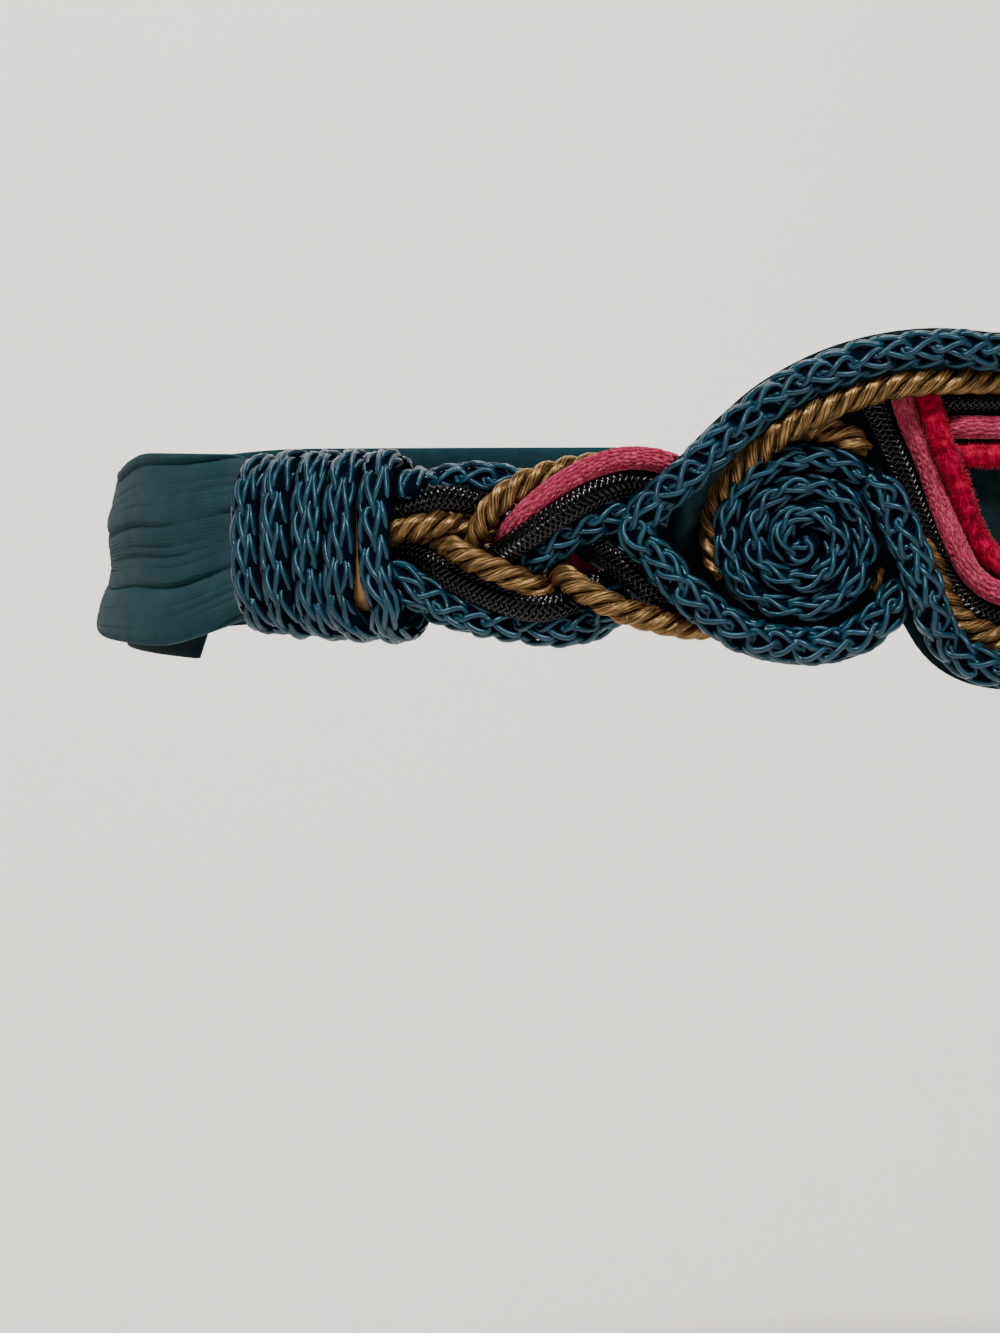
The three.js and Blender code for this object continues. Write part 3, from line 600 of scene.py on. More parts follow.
def wander(length, reach, amount, seed):
    """A slow, seeded wandering along a length: its values at any places on it."""
    dice = np.random.default_rng(seed)
    waves = [
        (dice.uniform(0.6, 1.6) / reach, dice.uniform(0, 2 * math.pi), dice.uniform(0.5, 1))
        for _ in range(WANDER_WAVES)
    ]
    total = sum(size * np.sin(2 * math.pi * length * rate + phase) for rate, phase, size in waves)
    return total * amount / 2


def stitches(loops, steps):
    """Stitch after stitch as a smooth row of points: wales across, rows up, and depth."""
    number = np.arange(loops)[:, None]
    control = np.stack([
        STITCH[:, 0] + number, np.tile(STITCH[:, 1], (loops, 1)), np.tile(STITCH[:, 2], (loops, 1)),
    ], -1).reshape(-1, 3)
    before, start, end, after = control[:-3], control[1:-2], control[2:-1], control[3:]
    t = (np.arange(steps) / steps)[None, :, None]
    before, start, end, after = (part[:, None] for part in (before, start, end, after))
    path = start + t / 2 * (
        end - before
        + t * (2 * before - 5 * start + 4 * end - after + t * (3 * (start - end) + after - before))
    )
    return path.reshape(-1, 3).T


def knit(
    weave, line, half, thick, seed, pitch=ROW_PITCH, wales=CORD_WALES, radius=GIMP_RADIUS, heart=HEART,
):
    """One gimp knitted round a line in crossed stitches, with the dark heart that it hides; the heart's
    near-black is painted shade.
    """
    across, rows_up, depth = stitches(int(wales * (line.length / pitch - ROWS_LEFT_OFF)), LOOP_STEPS)
    run = pitch * (across / wales + rows_up + FIRST_ROW)
    run = run + wander(across, reach=5.0, amount=0.16 * pitch, seed=seed)
    run = np.clip(run, 0.0, line.length)
    angle = math.pi / 2 + across * 2 * math.pi / wales
    angle = angle + wander(across, reach=4.0, amount=0.16, seed=seed + 2)
    angle = angle + wander(across / wales, reach=6.0, amount=0.3, seed=seed + 1)
    deep = LOOP_DEPTH * (depth - 1) + wander(across, reach=1.7, amount=0.12 * MM, seed=seed + 3)
    side = (half - radius + deep) * np.cos(angle)
    up = (thick - radius + deep) * np.sin(angle)
    weave.tube(line.at(run, side, up), line.lean(run, side, up), radius)
    _, centre, out = line.middle(HEART_STEP)
    # Mark 1 is the heart, whose near-black colour is painted shade for the gaps between stitches
    weave.tube(centre, out, half * heart[0], thick * heart[1], sides=HEART_SIDES, mark=1)


def gimp_finish():
    """Rayon wound closely round a thin core: dark teal, glossy, with fine slanting windings."""
    finish = Finish(
        "teal_gimp", Roughness=0.25, Specular_IOR_Level=0.55, Specular_Tint=(0.5, 0.88, 1.0, 1),
    )
    place_on = finish.run_place()
    turns = finish.math("MULTIPLY", place_on["X"], WINDINGS_PER_MM)
    slant = finish.math("ADD", turns, place_on["Y"])
    winding = finish.math("SINE", finish.math("MULTIPLY", slant, 2 * math.pi))
    patch = finish.noise(260.0, 3.0)
    finish.shade("Base Color", finish.ramp(patch, [
        (0.25, (0.0008, 0.010, 0.0205)), (0.55, (0.0017, 0.02, 0.036)), (0.8, (0.0045, 0.037, 0.058)),
    ]))
    finish.bump(winding, 0.35, 0.00006)
    return finish


def inside_finish(name, dark, light):
    """The dull inside of a cord, seen only as the dark between its stitches or threads: near-black painted
    shade in the teal cords, the braid's own black in the black ones.
    """
    finish = Finish(name, Roughness=1.0, Specular_IOR_Level=0.0)
    finish.shade("Base Color", finish.ramp(finish.noise(900.0), [(0.3, dark), (0.7, light)]))
    return finish


teal_gimp = gimp_finish()
# Painted shade: the teal heart is near-black, far darker than the gimp, to stand for the shade between
# stitches
teal_heart_painted_shade = inside_finish("teal_heart_painted_shade", (0.0005, 0.002, 0.004), (0.001, 0.004, 0.007))
for order, (half, thick), weave, line in cords(
    ["upper_cord", "lower_cord", "plait_a_teal", "plait_b_teal", "plait_c_teal"],
    "knit", [teal_gimp, teal_heart_painted_shade], "teal_cord",
):
    knit(weave, line, half + CORD_SWELL, thick + CORD_SWELL, seed=10 * order + 2)

# Rosettes: the same knitted cord, coiled flat on edge and sewn down as a disc at each end of
# the centre. Its stitches are closer, because the coil squeezes the cord.
COIL_ROW_PITCH = 4.2 * MM
COIL_GIMP = 0.42 * MM
COIL_SWELL = 0.35 * MM
COIL_HEART = (0.9, 0.6)
COIL_CURLED_IN = 0.42
COIL_OVERRUN = 0.05
COIL_POINTS = 440
COIL_SEED = 71

for side, mirror in BOTH_SIDES:
    back = np.linspace(COIL_TURNS + COIL_CURLED_IN, -COIL_OVERRUN, COIL_POINTS)
    line = Line(coil_points(back) * (mirror, 1, 1))
    weave = Weave()
    knit(
        weave, line, COIL_HALF + COIL_SWELL, COIL_THICK, COIL_SEED,
        pitch=COIL_ROW_PITCH, radius=COIL_GIMP, heart=COIL_HEART,
    )
    weave.piece("knit_rosette_" + side, [teal_gimp, teal_heart_painted_shade], "teal_cord", "rosette_" + side)

# Barrels: knitted cord wound about five times round a padded tan core, hiding the joint of
# plait and strap. The last turn has slipped and lets the core show.
BARREL_OUTER_END = -114.4 * MM
BARREL_TURNS = 5
BARREL_SQUARENESS = 2.5
TURN_HALF = 2.3 * MM
TURN_THICK = 1.7 * MM
TURN_PITCH = 5.05 * MM
WIND_FROM = 0.2
WIND_TO = BARREL_TURNS + 0.36
WIND_GAP = 0.65 * MM
FRONT_SLANT = 0.4
LOOSE_TURN = 4.603
LOOSE_SHIFT = 1.1 * MM
LOOSE_WIDTH = 0.055
LOOSE_TURN_BEFORE = 0.8
CORE_HALF_HEIGHT = 10.2 * MM
CORE_HALF_DEPTH = 3.9 * MM
CORE_RECESS = 2.6 * MM
CORE_TRIM = 0.6 * MM
CORE_FILL = 0.3 * MM
CORE_RINGS = 24
CORE_POINTS = 48
BARREL_MIDDLE = CORE_HALF_DEPTH + 2 * TURN_THICK + WIND_GAP
WIND_ROW_PITCH = 5.0 * MM
WIND_WALES = 5
WIND_CORD = (2.7 * MM, 1.9 * MM)
WIND_GIMP = 0.48 * MM
WIND_HEART = (1.0, 0.6)
WIND_POINTS = 1200
WIND_SEED = 91
# The winding starts lower, and its end is tucked in: shares of height and depth
START_DROP, START_DROP_TURNS = 0.1, 0.8
TUCK_HEIGHT, TUCK_DEPTH = 0.3, 0.5


def smooth(value, start, end):
    share = np.clip((value - start) / (end - start), 0, 1)
    return share * share * (3 - 2 * share)


def winding_shift(turn):
    """How far along the barrel the cord has come: it climbs mostly at the back."""
    slipped = np.exp(-((turn - LOOSE_TURN) / LOOSE_WIDTH) ** 2)
    pushed = np.exp(-((turn - LOOSE_TURN + 1) / LOOSE_WIDTH) ** 2)
    climb = turn + (1 - FRONT_SLANT) * np.sin(2 * math.pi * turn) / (2 * math.pi)
    return TURN_PITCH * climb + LOOSE_SHIFT * (slipped - LOOSE_TURN_BEFORE * pushed)


def rounded(angle, half_height, half_depth):
    """Height and depth on a rounded oblong, and the direction out of it."""
    power = 2 / BARREL_SQUARENESS
    c, s = np.cos(angle), np.sin(angle)
    height = np.sign(c) * np.abs(c) ** power
    depth = np.sign(s) * np.abs(s) ** power
    grow = BARREL_SQUARENESS - 1
    rise = np.sign(c) * np.abs(height) ** grow / half_height
    stand = np.sign(s) * np.abs(depth) ** grow / half_depth
    return height * half_height, depth * half_depth, rise, stand


def winding_line(mirror):
    """The wound cord's line, from the plait's end of the barrel back to its outer end."""
    turn = np.linspace(WIND_FROM, WIND_TO, WIND_POINTS)
    height, depth, rise, stand = rounded(
        2 * math.pi * turn - math.pi / 2,
        CORE_HALF_HEIGHT + TURN_THICK + WIND_GAP, CORE_HALF_DEPTH + TURN_THICK + WIND_GAP,
    )
    tuck = smooth(turn, BARREL_TURNS, WIND_TO)
    height = height * (1 - START_DROP * np.exp(-turn / START_DROP_TURNS) - TUCK_HEIGHT * tuck)
    depth = depth * (1 - TUCK_DEPTH * tuck)
    u = BARREL_OUTER_END + TURN_HALF + winding_shift(turn) - winding_shift(WIND_FROM) - TURN_HALF * tuck
    flat = np.stack([mirror * u, height, BARREL_MIDDLE + depth], 1)
    out = waist_out(flat[:, 0]) * stand[:, None] + np.array([0, 0, 1]) * rise[:, None]
    return Line(flat[::-1], unit(out)[::-1])


def core_finish():
    """Satin over padding, tan with a soft shine and a fine grain along the belt."""
    finish = Finish("tan_satin", Roughness=0.42, Sheen_Weight=0.3)
    finish.shade("Base Color", finish.ramp(finish.noise(500.0, 3.0), [
        (0.3, (0.34, 0.16, 0.05)), (0.7, (0.56, 0.3, 0.11)),
    ]))
    finish.bump(finish.noise(2400.0), 0.25, 0.0001)
    return finish


tan_satin = core_finish()
for side, mirror in BOTH_SIDES:
    weave = Weave()
    line = winding_line(mirror)
    knit(weave, line, *WIND_CORD, WIND_SEED, WIND_ROW_PITCH, WIND_WALES, WIND_GIMP, WIND_HEART)
    weave.piece("knit_wrap_cord_" + side, [teal_gimp, teal_heart_painted_shade], "teal_cord", "wrap_cord_" + side)

    core_end = BARREL_OUTER_END + BARREL_TURNS * TURN_PITCH - CORE_RECESS
    u = np.linspace(BARREL_OUTER_END + 2 * CORE_RECESS, core_end, CORE_RINGS)
    height, depth, _, _ = rounded(
        np.linspace(0, 2 * math.pi, CORE_POINTS, endpoint=False),
        CORE_HALF_HEIGHT - CORE_TRIM, CORE_HALF_DEPTH + CORE_FILL,
    )
    flat = np.stack(np.broadcast_arrays(
        mirror * u[:, None], height[None], (BARREL_MIDDLE + depth)[None],
    ), -1)
    if mirror > 0:
        flat = flat[:, ::-1]
    weave = Weave()
    index = weave.grid(place(flat), np.zeros((CORE_RINGS, CORE_POINTS + 1, 2)), round_way=True)
    weave.face(index[0][::-1])
    weave.face(index[-1])
    weave.piece("satin_wrap_core_" + side, [tan_satin], "wrap_core", "wrap_core_" + side)

# Gold ropes: three plies of satin yarn twisted into a stiff, shiny rope. One lines the upper
# cord, one the lower cord, one lies over each rosette, and one runs in each strand of the plait.
ROPE_LAY = 9.6 * MM
PLY_SHARE = 0.42
PLY_STEP = 0.5 * MM
PLY_FLUTES = 9
FLUTE_DEPTH = 0.04
PLY_WIDENED = 1.05
ROPE_TAPER = 0.45
ROPE_TAPER_LENGTH = 2.4 * MM
ROPE_SWELL = 0.15 * MM
FIBRE_ALONG = 0.35
FIBRE_ACROSS = 20.0


def lay_rope(weave, line, half, start):
    """Three plies twisted round a line."""
    run = np.linspace(0, line.length, max(6, int(line.length / PLY_STEP)))
    from_end = np.minimum(run, line.length - run)
    half = half * (1 - ROPE_TAPER * (1 - smooth(from_end, 0, ROPE_TAPER_LENGTH)))
    ply = half * PLY_SHARE
    for number in range(3):
        angle = start + 2 * math.pi * (number / 3 - run / ROPE_LAY)
        side = (half - ply) * np.cos(angle)
        up = (half - ply) * np.sin(angle)
        weave.tube(
            line.at(run, side, up), line.lean(run, side, up), ply * PLY_WIDENED, ply,
            sides=2 * PLY_FLUTES, flute=FLUTE_DEPTH,
        )


def satin_finish():
    """Satin yarn: old gold, with fibres along each ply; their streaks are partly the yarn's own tone and
    partly painted highlight and painted shade.
    """
    finish = Finish(
        "gold_satin", Metallic=0.6, Roughness=0.24,
        Specular_IOR_Level=0.7, Specular_Tint=(1.0, 0.75, 0.42, 1),
    )
    place_on = finish.run_place()
    stretched = finish.node("CombineXYZ", {
        "X": finish.math("MULTIPLY", place_on["X"], FIBRE_ALONG),
        "Y": finish.math("MULTIPLY", place_on["Y"], FIBRE_ACROSS),
    })
    fibre = finish.noise(1.0, 4.0, 0.6, stretched.outputs["Vector"])
    # Partly painted highlight and painted shade: fibre streaks run from near-black to bright gold
    finish.shade("Base Color", finish.ramp(fibre, [
        (0.36, (0.022, 0.011, 0.003)), (0.5, (0.1, 0.053, 0.018)), (0.63, (0.36, 0.21, 0.085)),
    ]))
    finish.bump(fibre, 0.9, 0.0003)
    return finish


gold_satin = satin_finish()
for order, (half, thick), weave, line in cords(
    [
        "gold_rope_top", "gold_rope_bottom", "rosette_rope", "rope_end",
        "plait_a_gold", "plait_b_gold", "plait_c_gold",
    ],
    "satin", [gold_satin], "gold_rope",
):
    lay_rope(weave, line, half + ROPE_SWELL, start=0.7 * order)

# Black braid: flat and hollow, plaited of fourteen glossy black threads, seven slanting each way,
# one over and one under, round a dull core.
BRAID_SWELL = 0.3 * MM
BRAID_THREADS = 7
BRAID_LAY = 6.3 * MM
BRAID_STEP = BRAID_LAY / (3 * BRAID_THREADS)
THREAD_HALF = 0.33 * MM
THREAD_THICK = 0.16 * MM
THREAD_WEAVE = 0.13 * MM
BRAID_CORE_INSET = 0.35 * MM
BODY_SIDES = 12


def plait_flat(weave, line, half, thick):
    """Threads that climb round the line both ways, each over one and under one."""
    run = np.arange(0, line.length, BRAID_STEP)
    over = THREAD_WEAVE * np.cos(2 * BRAID_THREADS * 2 * math.pi * run / BRAID_LAY)
    for number in range(2 * BRAID_THREADS):
        way = 1 if number % 2 else -1
        angle = 2 * math.pi * (number // 2 / BRAID_THREADS + way * run / BRAID_LAY)
        side = (half - THREAD_THICK - THREAD_WEAVE + way * over) * np.cos(angle)
        up = (thick - THREAD_THICK - THREAD_WEAVE + way * over) * np.sin(angle)
        out = line.lean(run, np.cos(angle) * thick, np.sin(angle) * half)
        weave.tube(line.at(run, side, up), out, THREAD_HALF, THREAD_THICK, sides=4)
    _, centre, out = line.middle(HEART_STEP)
    inset = BRAID_CORE_INSET
    weave.tube(centre, out, half - inset, thick - inset, sides=BODY_SIDES, mark=1)


def thread_finish():
    """Black polished thread with a few paler fibres."""
    finish = Finish("black_thread", Roughness=0.16, Specular_IOR_Level=0.3)
    finish.shade("Base Color", finish.ramp(finish.noise(1500.0), [
        (0.4, (0.0006, 0.0006, 0.0008)), (0.62, (0.0016, 0.0016, 0.002)), (0.78, (0.02, 0.02, 0.022)),
    ]))
    finish.bump(finish.noise(5200.0), 0.4, 0.00005)
    return finish


black_thread = thread_finish()
black_core = inside_finish("black_core", (0.0008, 0.0008, 0.001), (0.002, 0.002, 0.0025))
for _, (half, thick), weave, line in cords(
    ["black_bow", "black_bar", "plait_a_black", "plait_b_black", "plait_c_black"],
    "braid", [black_thread, black_core], "black_braid",
):
    plait_flat(weave, line, half + BRAID_SWELL, thick + 0.5 * BRAID_SWELL)

# Rose cords: fine matt yarn knitted closely into a soft round cord, heathered in two pinks. One
# hangs as a bow in the centre, one lies straight above it, and two strands of the plait hold one.
ROSE_WALES = 8
ROSE_PITCH = 1.0 * MM
ROSE_YARN = 0.22 * MM
ROSE_STEPS = 6
ROSE_SETTLED_IN = 0.1 * MM
ROSE_LEG_HEIGHT = 0.8
ROSE_LEG_DEPTH = 0.13 * MM
ROSE_LEG_LEAN = 0.2


def knit_close(weave, line, half, thick, seed):
    """Fine yarn in close stitches over a soft heart."""
    loops = int(ROSE_WALES * (line.length / ROSE_PITCH - ROWS_LEFT_OFF))
    phase = np.arange(loops * ROSE_STEPS + 1) * 2 * math.pi / ROSE_STEPS
    angle = phase / ROSE_WALES + ROSE_LEG_LEAN * (2 * math.pi / ROSE_WALES) * np.sin(2 * phase)
    angle = angle + wander(phase / ROSE_WALES, reach=9.0, amount=0.35, seed=seed + 2)
    run = ROSE_PITCH * (phase / (2 * math.pi * ROSE_WALES) + 0.2 + ROSE_LEG_HEIGHT * np.cos(phase))
    run = run + wander(phase, reach=8.0, amount=0.3 * ROSE_PITCH, seed=seed)
    run = np.clip(run, 0, line.length)
    deep = wander(phase, reach=6.0, amount=0.05 * MM, seed=seed + 1) - ROSE_LEG_DEPTH * np.cos(2 * phase)
    side = (half - ROSE_YARN - ROSE_SETTLED_IN + deep) * np.cos(angle)
    up = (thick - ROSE_YARN - ROSE_SETTLED_IN + deep) * np.sin(angle)
    weave.tube(line.at(run, side, up), line.lean(run, side, up), ROSE_YARN, sides=4)
    _, centre, out = line.middle(ROSE_PITCH)
    inset = 1.3 * ROSE_YARN
    weave.tube(centre, out, half - inset, thick - inset, sides=BODY_SIDES)


def rose_finish():
    """Matt yarn spun of a dark and a light pink, with fine fluff."""
    finish = Finish(
        "rose_yarn", Roughness=0.85, Specular_IOR_Level=0.15, Sheen_Weight=0.12, Sheen_Roughness=0.5,
    )
    fleck = finish.noise(1500.0, 3.0, 0.7)
    finish.shade("Base Color", finish.ramp(fleck, [
        (0.3, (0.14, 0.005, 0.022)), (0.5, (0.27, 0.017, 0.05)), (0.68, (0.4, 0.055, 0.11)),
    ]))
    finish.bump(finish.noise(4200.0, 4.0, 0.7), 0.6, 0.00012)
    return finish


rose_yarn = rose_finish()
for order, (half, thick), weave, line in cords(
    ["rose_bow", "rose_bar", "plait_a_rose", "plait_c_rose"], "yarn", [rose_yarn], "rose_cord",
):
    knit_close(weave, line, half, thick, seed=120 + 5 * order)

# Red cords: crimson chenille, a core thread that holds a dense short pile all round. They are
# the innermost bow and bar of the centre.
PILE_LENGTH = 0.55 * MM
PILE_WIDTH = 0.13 * MM
PILE_PER_MM = 90
PILE_SWELL = 0.5 * MM
PILE_FOOT = 0.45 * MM
PILE_SCATTER = 0.12 * MM
TUFT_CORNERS = (0, 2.094, 4.189)
BODY_INSET = 0.35 * MM
BODY_STEP = 0.5 * MM


def chenille(weave, line, half, seed):
    """A soft body, and a pile of short tufts that stand out of it."""
    run, centre, out = line.middle(BODY_STEP)
    swell = half - BODY_INSET + wander(run / MM, reach=3.0, amount=0.1 * MM, seed=seed)
    weave.tube(centre, out, swell, sides=14)
    dice = np.random.default_rng(seed)
    tufts = int(line.length / MM * PILE_PER_MM)
    run = dice.uniform(0, line.length, tufts)
    angle = dice.uniform(0, 2 * math.pi, tufts)
    foot_radius = half - PILE_FOOT
    foot = line.at(run, foot_radius * np.cos(angle), foot_radius * np.sin(angle))
    out = unit(line.lean(run, np.cos(angle), np.sin(angle)))
    tip = foot + out * dice.uniform(0.7, 1.25, tufts)[:, None] * PILE_LENGTH
    tip = tip + dice.normal(0, PILE_SCATTER, (tufts, 3))
    first = unit(np.cross(out, dice.normal(0, 1, (tufts, 3))))
    second = np.cross(out, first)
    ring = [foot + PILE_WIDTH * (first * math.cos(a) + second * math.sin(a)) for a in TUFT_CORNERS]
    start = weave.total
    weave.points.append(np.stack([*ring, tip], 1).reshape(-1, 3))
    for i in range(start, start + 4 * tufts, 4):
        for corners in ((i, i + 1, i + 3), (i + 1, i + 2, i + 3), (i + 2, i, i + 3)):
            weave.face(corners)
    weave.total += 4 * tufts


def chenille_finish():
    """Crimson pile: deep between the tufts, brighter where it stands up."""
    finish = Finish(
        "red_chenille", Roughness=0.85, Specular_IOR_Level=0.1, Sheen_Weight=0.08, Sheen_Roughness=0.4,
    )
    finish.shade("Base Color", finish.ramp(finish.noise(900.0, 3.0), [
        (0.3, (0.12, 0.0, 0.008)), (0.55, (0.27, 0.0002, 0.021)), (0.75, (0.41, 0.001, 0.038)),
    ]))
    return finish


red_chenille = chenille_finish()
for order, (half, thick), weave, line in cords(
    ["red_bow", "red_bar"], "pile", [red_chenille], "red_cord",
):
    chenille(weave, line, half + PILE_SWELL, seed=150 + order)

# Backing: plain dark cloth under the centre, cut just outside the upper and the lower teal cord.
# All cords of the centre are sewn down on it. Its colour is the cloth's own dark teal, made darker
# still as painted shade for the gaps between the cords.
BACKING_MARGIN = 0.3 * MM
BACKING_COLUMNS = 160
BACKING_ROWS = 26
EDGE_STEP = 0.5 * MM

edge_beads = np.vstack([through(beads[name], EDGE_STEP) for name in ("upper_cord", "lower_cord")])


def cloth_edge(u, way):
    """The outline's height at each u, upwards or downwards."""
    reach = TEAL[0] + BACKING_MARGIN
    offset = np.abs(edge_beads[None, :, 0] + np.abs(u)[:, None])
    rise = np.sqrt(np.clip(reach**2 - offset**2, 0, None))
    height = np.where(offset < reach, way * edge_beads[None, :, 1] + rise, -1.0)
    return way * height.max(axis=1)


def closed_sheet(weave, outer, inner):
    """A sheet of cloth with two faces; the inner face may have fewer rows than the outer."""
    front = weave.grid(outer, np.zeros((*outer.shape[:2], 2)))
    back = weave.grid(inner[::-1], np.zeros((*inner.shape[:2], 2)))[::-1]
    for i in range(outer.shape[0] - 1):
        weave.face((front[i, 0], front[i + 1, 0], back[i + 1, 0], back[i, 0]))
        weave.face((front[i + 1, -1], front[i, -1], back[i, -1], back[i + 1, -1]))
    weave.face([*front[0][::-1], *back[0]])
    weave.face([*front[-1], *back[-1][::-1]])


def backing_finish():
    # Partly painted shade: near-black teal, darker than the dark cloth itself, for the shade between the
    # cords
    finish = Finish("dark_cloth_painted_shade", Roughness=0.95, Specular_IOR_Level=0.1)
    finish.shade("Base Color", finish.ramp(finish.noise(700.0, 4.0), [
        (0.3, (0.0015, 0.006, 0.008)), (0.7, (0.004, 0.015, 0.018)),
    ]))
    finish.bump(finish.noise(3000.0, 3.0), 0.5, 0.0001)
    return finish


corner = max(BACKING_CORNER, beads["upper_cord"][:, 0].min() - TEAL[0])
columns = corner * np.cos(np.linspace(0, math.pi, BACKING_COLUMNS))
share = np.linspace(0, 1, BACKING_ROWS)
low, high = cloth_edge(columns, -1), cloth_edge(columns, 1)
height = low[:, None] + (high - low)[:, None] * share[None]
around = np.broadcast_to(columns[:, None], height.shape)
weave = Weave()
closed_sheet(
    weave,
    place(np.stack([around, height, np.full_like(height, BACKING_THICK)], -1)),
    place(np.stack([around, height, np.zeros_like(height)], -1)),
)
backing = weave.piece("cloth_backing", [backing_finish()], "backing_cloth", "motif_backing")

# Strap: ribbed stretch cloth in dark teal, gathered into the barrel and soft behind, so that it
# lies in long folds and creases. It is narrowed to the clasp.
STRAP_TOP = 12.5 * MM
STRAP_BOTTOM = -16.2 * MM
STRAP_THICK = 1.8 * MM
STRAP_RISE = 0.8 * MM
STRAP_END_TOP = 10.8 * MM
STRAP_END_BOTTOM = -14.5 * MM
CLASP_LENGTH = 34 * MM
CLASP_OVERLAP = 14 * MM
STRAP_START = BARREL_OUTER_END + 3 * MM
STRAP_END = -WAIST_LENGTH / 2 + CLASP_LENGTH / 2 - CLASP_OVERLAP
STRAP_GATHER_LENGTH = 14 * MM
STRAP_SLOPE_LENGTH = 30 * MM
STRAP_LEAN = 0.075
# Its top dips between these places, which are measured from the centre front
STRAP_DIP = 3.2 * MM
DIP_FALLS = (0.147, 0.172)
DIP_RISES = (0.19, 0.25)
FOLD_DEPTH = 1.2 * MM
FOLD_COUNT = 1.82
FOLD_FROM = 0.16
CREASE_DEPTH = 0.8 * MM
CREASE_COUNT = 3.1
CREASE_WAVE = 17 * MM
CREASE_SLANT = 9
CREASE_FADES = (-0.2, -0.13)
RIB_PITCH = 0.6 * MM
RIB_DEPTH = 0.035 * MM
EDGE_ROLL = 0.7 * MM
EDGE_ROLL_WIDTH = 0.5 * MM
UNDER_THICK = 1.0 * MM
UNDER_LAYER = UNDER_THICK + 0.45 * MM
STRAP_COLUMNS = 90
STRAP_CROWDING = 1.25
STRAP_ROWS = 206
LINING_ROWS = 30


def laid(mirror, u, v, w):
    """A sheet's points in space, in the order that turns its face outwards."""
    points = place(np.stack(np.broadcast_arrays(mirror * u, v, w), -1))
    return points[::-1] if mirror > 0 else points


def creases(u, across):
    """Long sharp creases with finer ones between them, shallower towards the back."""
    total = 0
    for part in (1, 2, 3):
        waver = wander(u / MM, reach=60.0, amount=0.16, seed=7)
        deep = 0.55 + 0.45 * np.sin(u / (CREASE_WAVE / part) + CREASE_SLANT * across + part)
        away = np.abs(np.sin(math.pi * part * (CREASE_COUNT * across + waver)))
        total = total - CREASE_DEPTH / part * deep * (1 - away) ** 3
    return total * (0.4 + 0.6 * smooth(u, *CREASE_FADES))


def strap_sheet(mirror, rows, outside):
    along = np.linspace(0, 1, STRAP_COLUMNS)[:, None] ** STRAP_CROWDING
    across = np.linspace(0, 1, rows)[None]
    u = STRAP_START + (STRAP_END - STRAP_START) * along
    gather = 1 - smooth(STRAP_START - u, 0, STRAP_GATHER_LENGTH)
    slope = 1 - smooth(STRAP_START - u, 0, STRAP_SLOPE_LENGTH)
    dip = smooth(-u, *DIP_FALLS) - smooth(-u, *DIP_RISES)
    narrow = smooth(STRAP_END - u, -CLASP_OVERLAP, 0)
    rise = STRAP_RISE * (1 - narrow)
    top = STRAP_TOP + rise - STRAP_DIP * dip - gather * (STRAP_TOP - CORE_HALF_HEIGHT)
    top = top - narrow * (STRAP_TOP - STRAP_END_TOP)
    bottom = STRAP_BOTTOM - rise - slope * (STRAP_BOTTOM + CORE_HALF_HEIGHT)
    bottom = bottom + narrow * (STRAP_END_BOTTOM - STRAP_BOTTOM)
    lift = gather * (BARREL_MIDDLE - STRAP_THICK - UNDER_LAYER)
    drift = 0.1 * np.sin(u / (37 * MM)) + 0.03 * np.sin(u / (9 * MM))
    fold = 0.5 + 0.5 * np.cos(2 * math.pi * (FOLD_COUNT * (across - FOLD_FROM) + drift))
    v = bottom + (top - bottom) * across
    w = UNDER_LAYER + lift + FOLD_DEPTH * fold + STRAP_LEAN * (top - v) * (1 - gather)
    if outside:
        width = STRAP_TOP - STRAP_BOTTOM
        ribs = np.sin(2 * math.pi * (
            width * across / RIB_PITCH + wander(u / MM, reach=30.0, amount=0.5, seed=5)
        ))
        crinkle = wander(u / MM + 60 * across, reach=7.0, amount=0.06 * MM, seed=6)
        edge = np.minimum(across, 1 - across) * width
        w = w + STRAP_THICK + RIB_DEPTH * ribs + creases(u, across) + crinkle
        w = w - EDGE_ROLL * np.exp(-edge / EDGE_ROLL_WIDTH)
    return laid(mirror, u, v, w)


def cloth_finish(name, shades):
    """Ribbed stretch cloth: matt, in shades that cloud it softly, with a fine grain."""
    finish = Finish(name, Roughness=0.95, Specular_IOR_Level=0.08, Sheen_Weight=0.03)
    cloud = finish.noise(260.0, 4.0)
    finish.shade("Base Color", finish.ramp(cloud, list(zip((0.3, 0.55, 0.8), shades))))
    finish.bump(finish.noise(2600.0, 4.0, 0.65), 0.45, 0.00015)
    return finish


ribbed_cloth = cloth_finish("ribbed_cloth", [
    (0.0052, 0.027, 0.035), (0.0066, 0.032, 0.041), (0.0085, 0.038, 0.048),
])
for side, mirror in BOTH_SIDES:
    weave = Weave()
    closed_sheet(weave, strap_sheet(mirror, STRAP_ROWS, True), strap_sheet(mirror, LINING_ROWS, False))
    strap = weave.piece("cloth_waist_strap_" + side, [ribbed_cloth], "strap_cloth", "waist_strap_" + side)
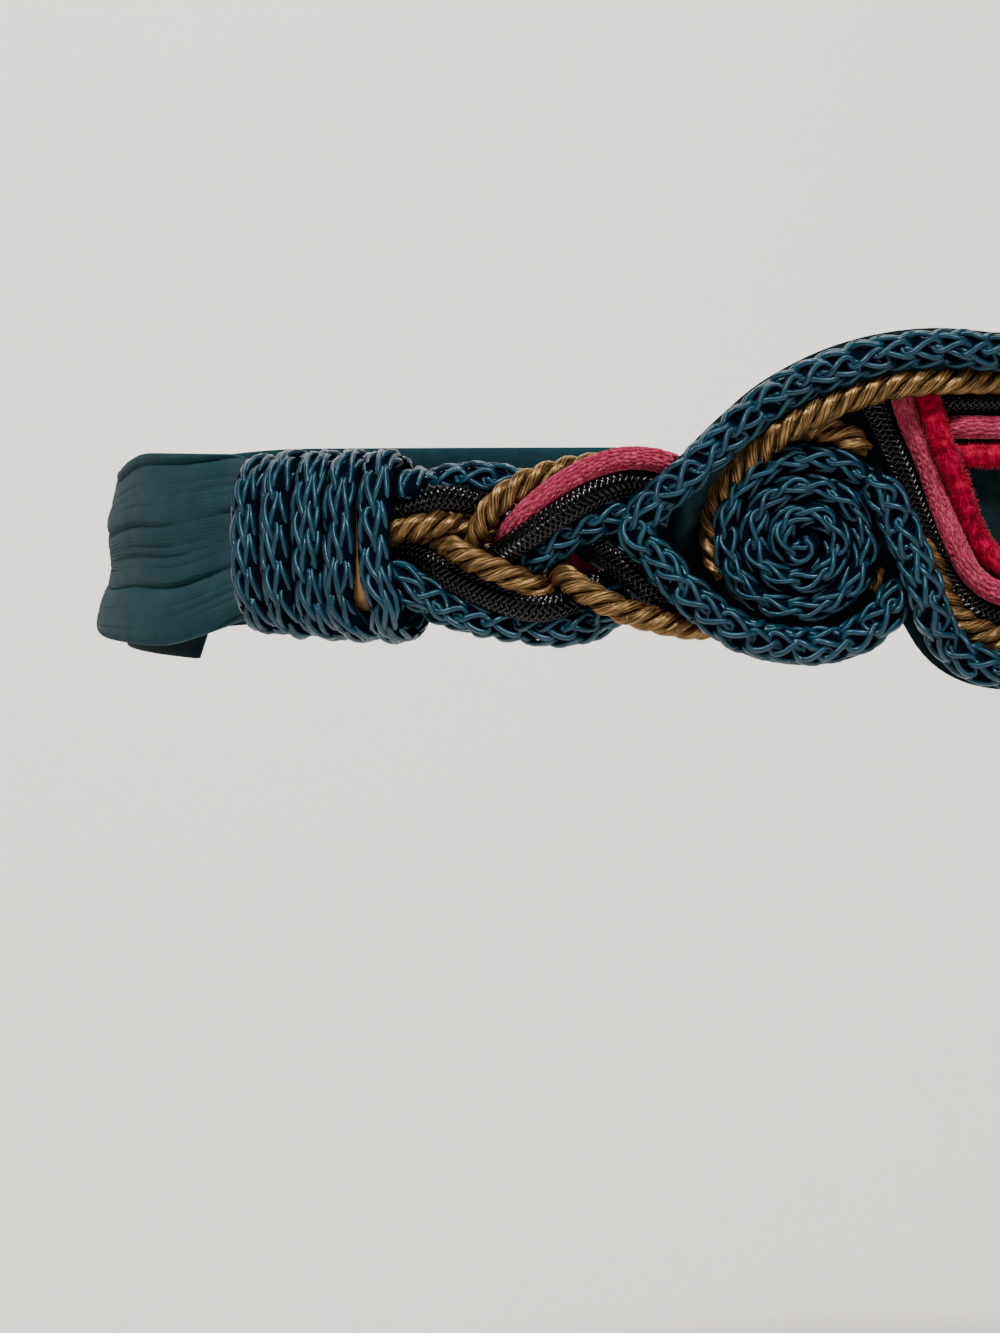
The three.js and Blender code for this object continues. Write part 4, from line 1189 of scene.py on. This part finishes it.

# Second layer of the strap: the same ribbed cloth, with the strap's shade painted into its colour as
# darker shades, plain and flat on the waist. It starts with a slanting end behind the barrel and
# hangs a little lower.
UNDER_START = -129 * MM
UNDER_SLANT = 6 * MM
UNDER_TOP_DROP = 3 * MM
UNDER_DROP = 2.6 * MM
UNDER_RIBS = 0.1 * MM
UNDER_COLUMNS = 70
UNDER_ROWS = 60


def under_sheet(mirror, outside):
    along = np.linspace(0, 1, UNDER_COLUMNS)[:, None]
    across = np.linspace(0, 1, UNDER_ROWS)[None]
    start = UNDER_START - UNDER_SLANT * np.clip(1 - 2 * across, 0, 1)
    u = start + (STRAP_END - start) * along
    narrow = smooth(STRAP_END - u, -CLASP_OVERLAP, 0)
    top = STRAP_TOP - UNDER_TOP_DROP - narrow * (STRAP_TOP - STRAP_END_TOP)
    bottom = STRAP_BOTTOM - UNDER_DROP + narrow * (STRAP_END_BOTTOM - STRAP_BOTTOM + UNDER_DROP)
    v = bottom + (top - bottom) * across
    w = np.zeros_like(u)
    if outside:
        w = w + UNDER_THICK + UNDER_RIBS * (np.sin(2 * math.pi * (v / RIB_PITCH)) - 1)
    return laid(mirror, u, v, w)


# Painted shade: the strap's own cloth in darker shades, for the strap's shadow over this layer
painted_shade_cloth = cloth_finish("under_cloth_painted_shade", [
    (0.002, 0.009, 0.012), (0.003, 0.013, 0.017), (0.004, 0.018, 0.022),
])
for side, mirror in BOTH_SIDES:
    weave = Weave()
    closed_sheet(weave, under_sheet(mirror, True), under_sheet(mirror, False))
    under = weave.piece("cloth_strap_under_" + side, [painted_shade_cloth], "strap_cloth", "strap_under_" + side)

# Clasp: one plain plate of brushed brass, curved with the waist, that joins both strap ends at
# the back. The frame's own solid is kept, and only its finish is made here.
BRUSHED_ALONG = (60.0, 60.0, 2400.0)

clasp_brass = Finish("brushed_brass", Metallic=1.0, Roughness=0.38)
grain = clasp_brass.node("Mapping", {"Vector": clasp_brass.object_place()}, Scale=BRUSHED_ALONG)
streak = clasp_brass.noise(1.0, 3.0, 0.6, grain.outputs["Vector"])
clasp_brass.shade("Base Color", clasp_brass.ramp(streak, [
    (0.3, (0.33, 0.23, 0.09)), (0.7, (0.52, 0.4, 0.19)),
]))
clasp_brass.bump(streak, 0.2, 0.0001)
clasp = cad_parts["back_clasp"]
clasp.data.materials.clear()
clasp.data.materials.append(clasp_brass.material)
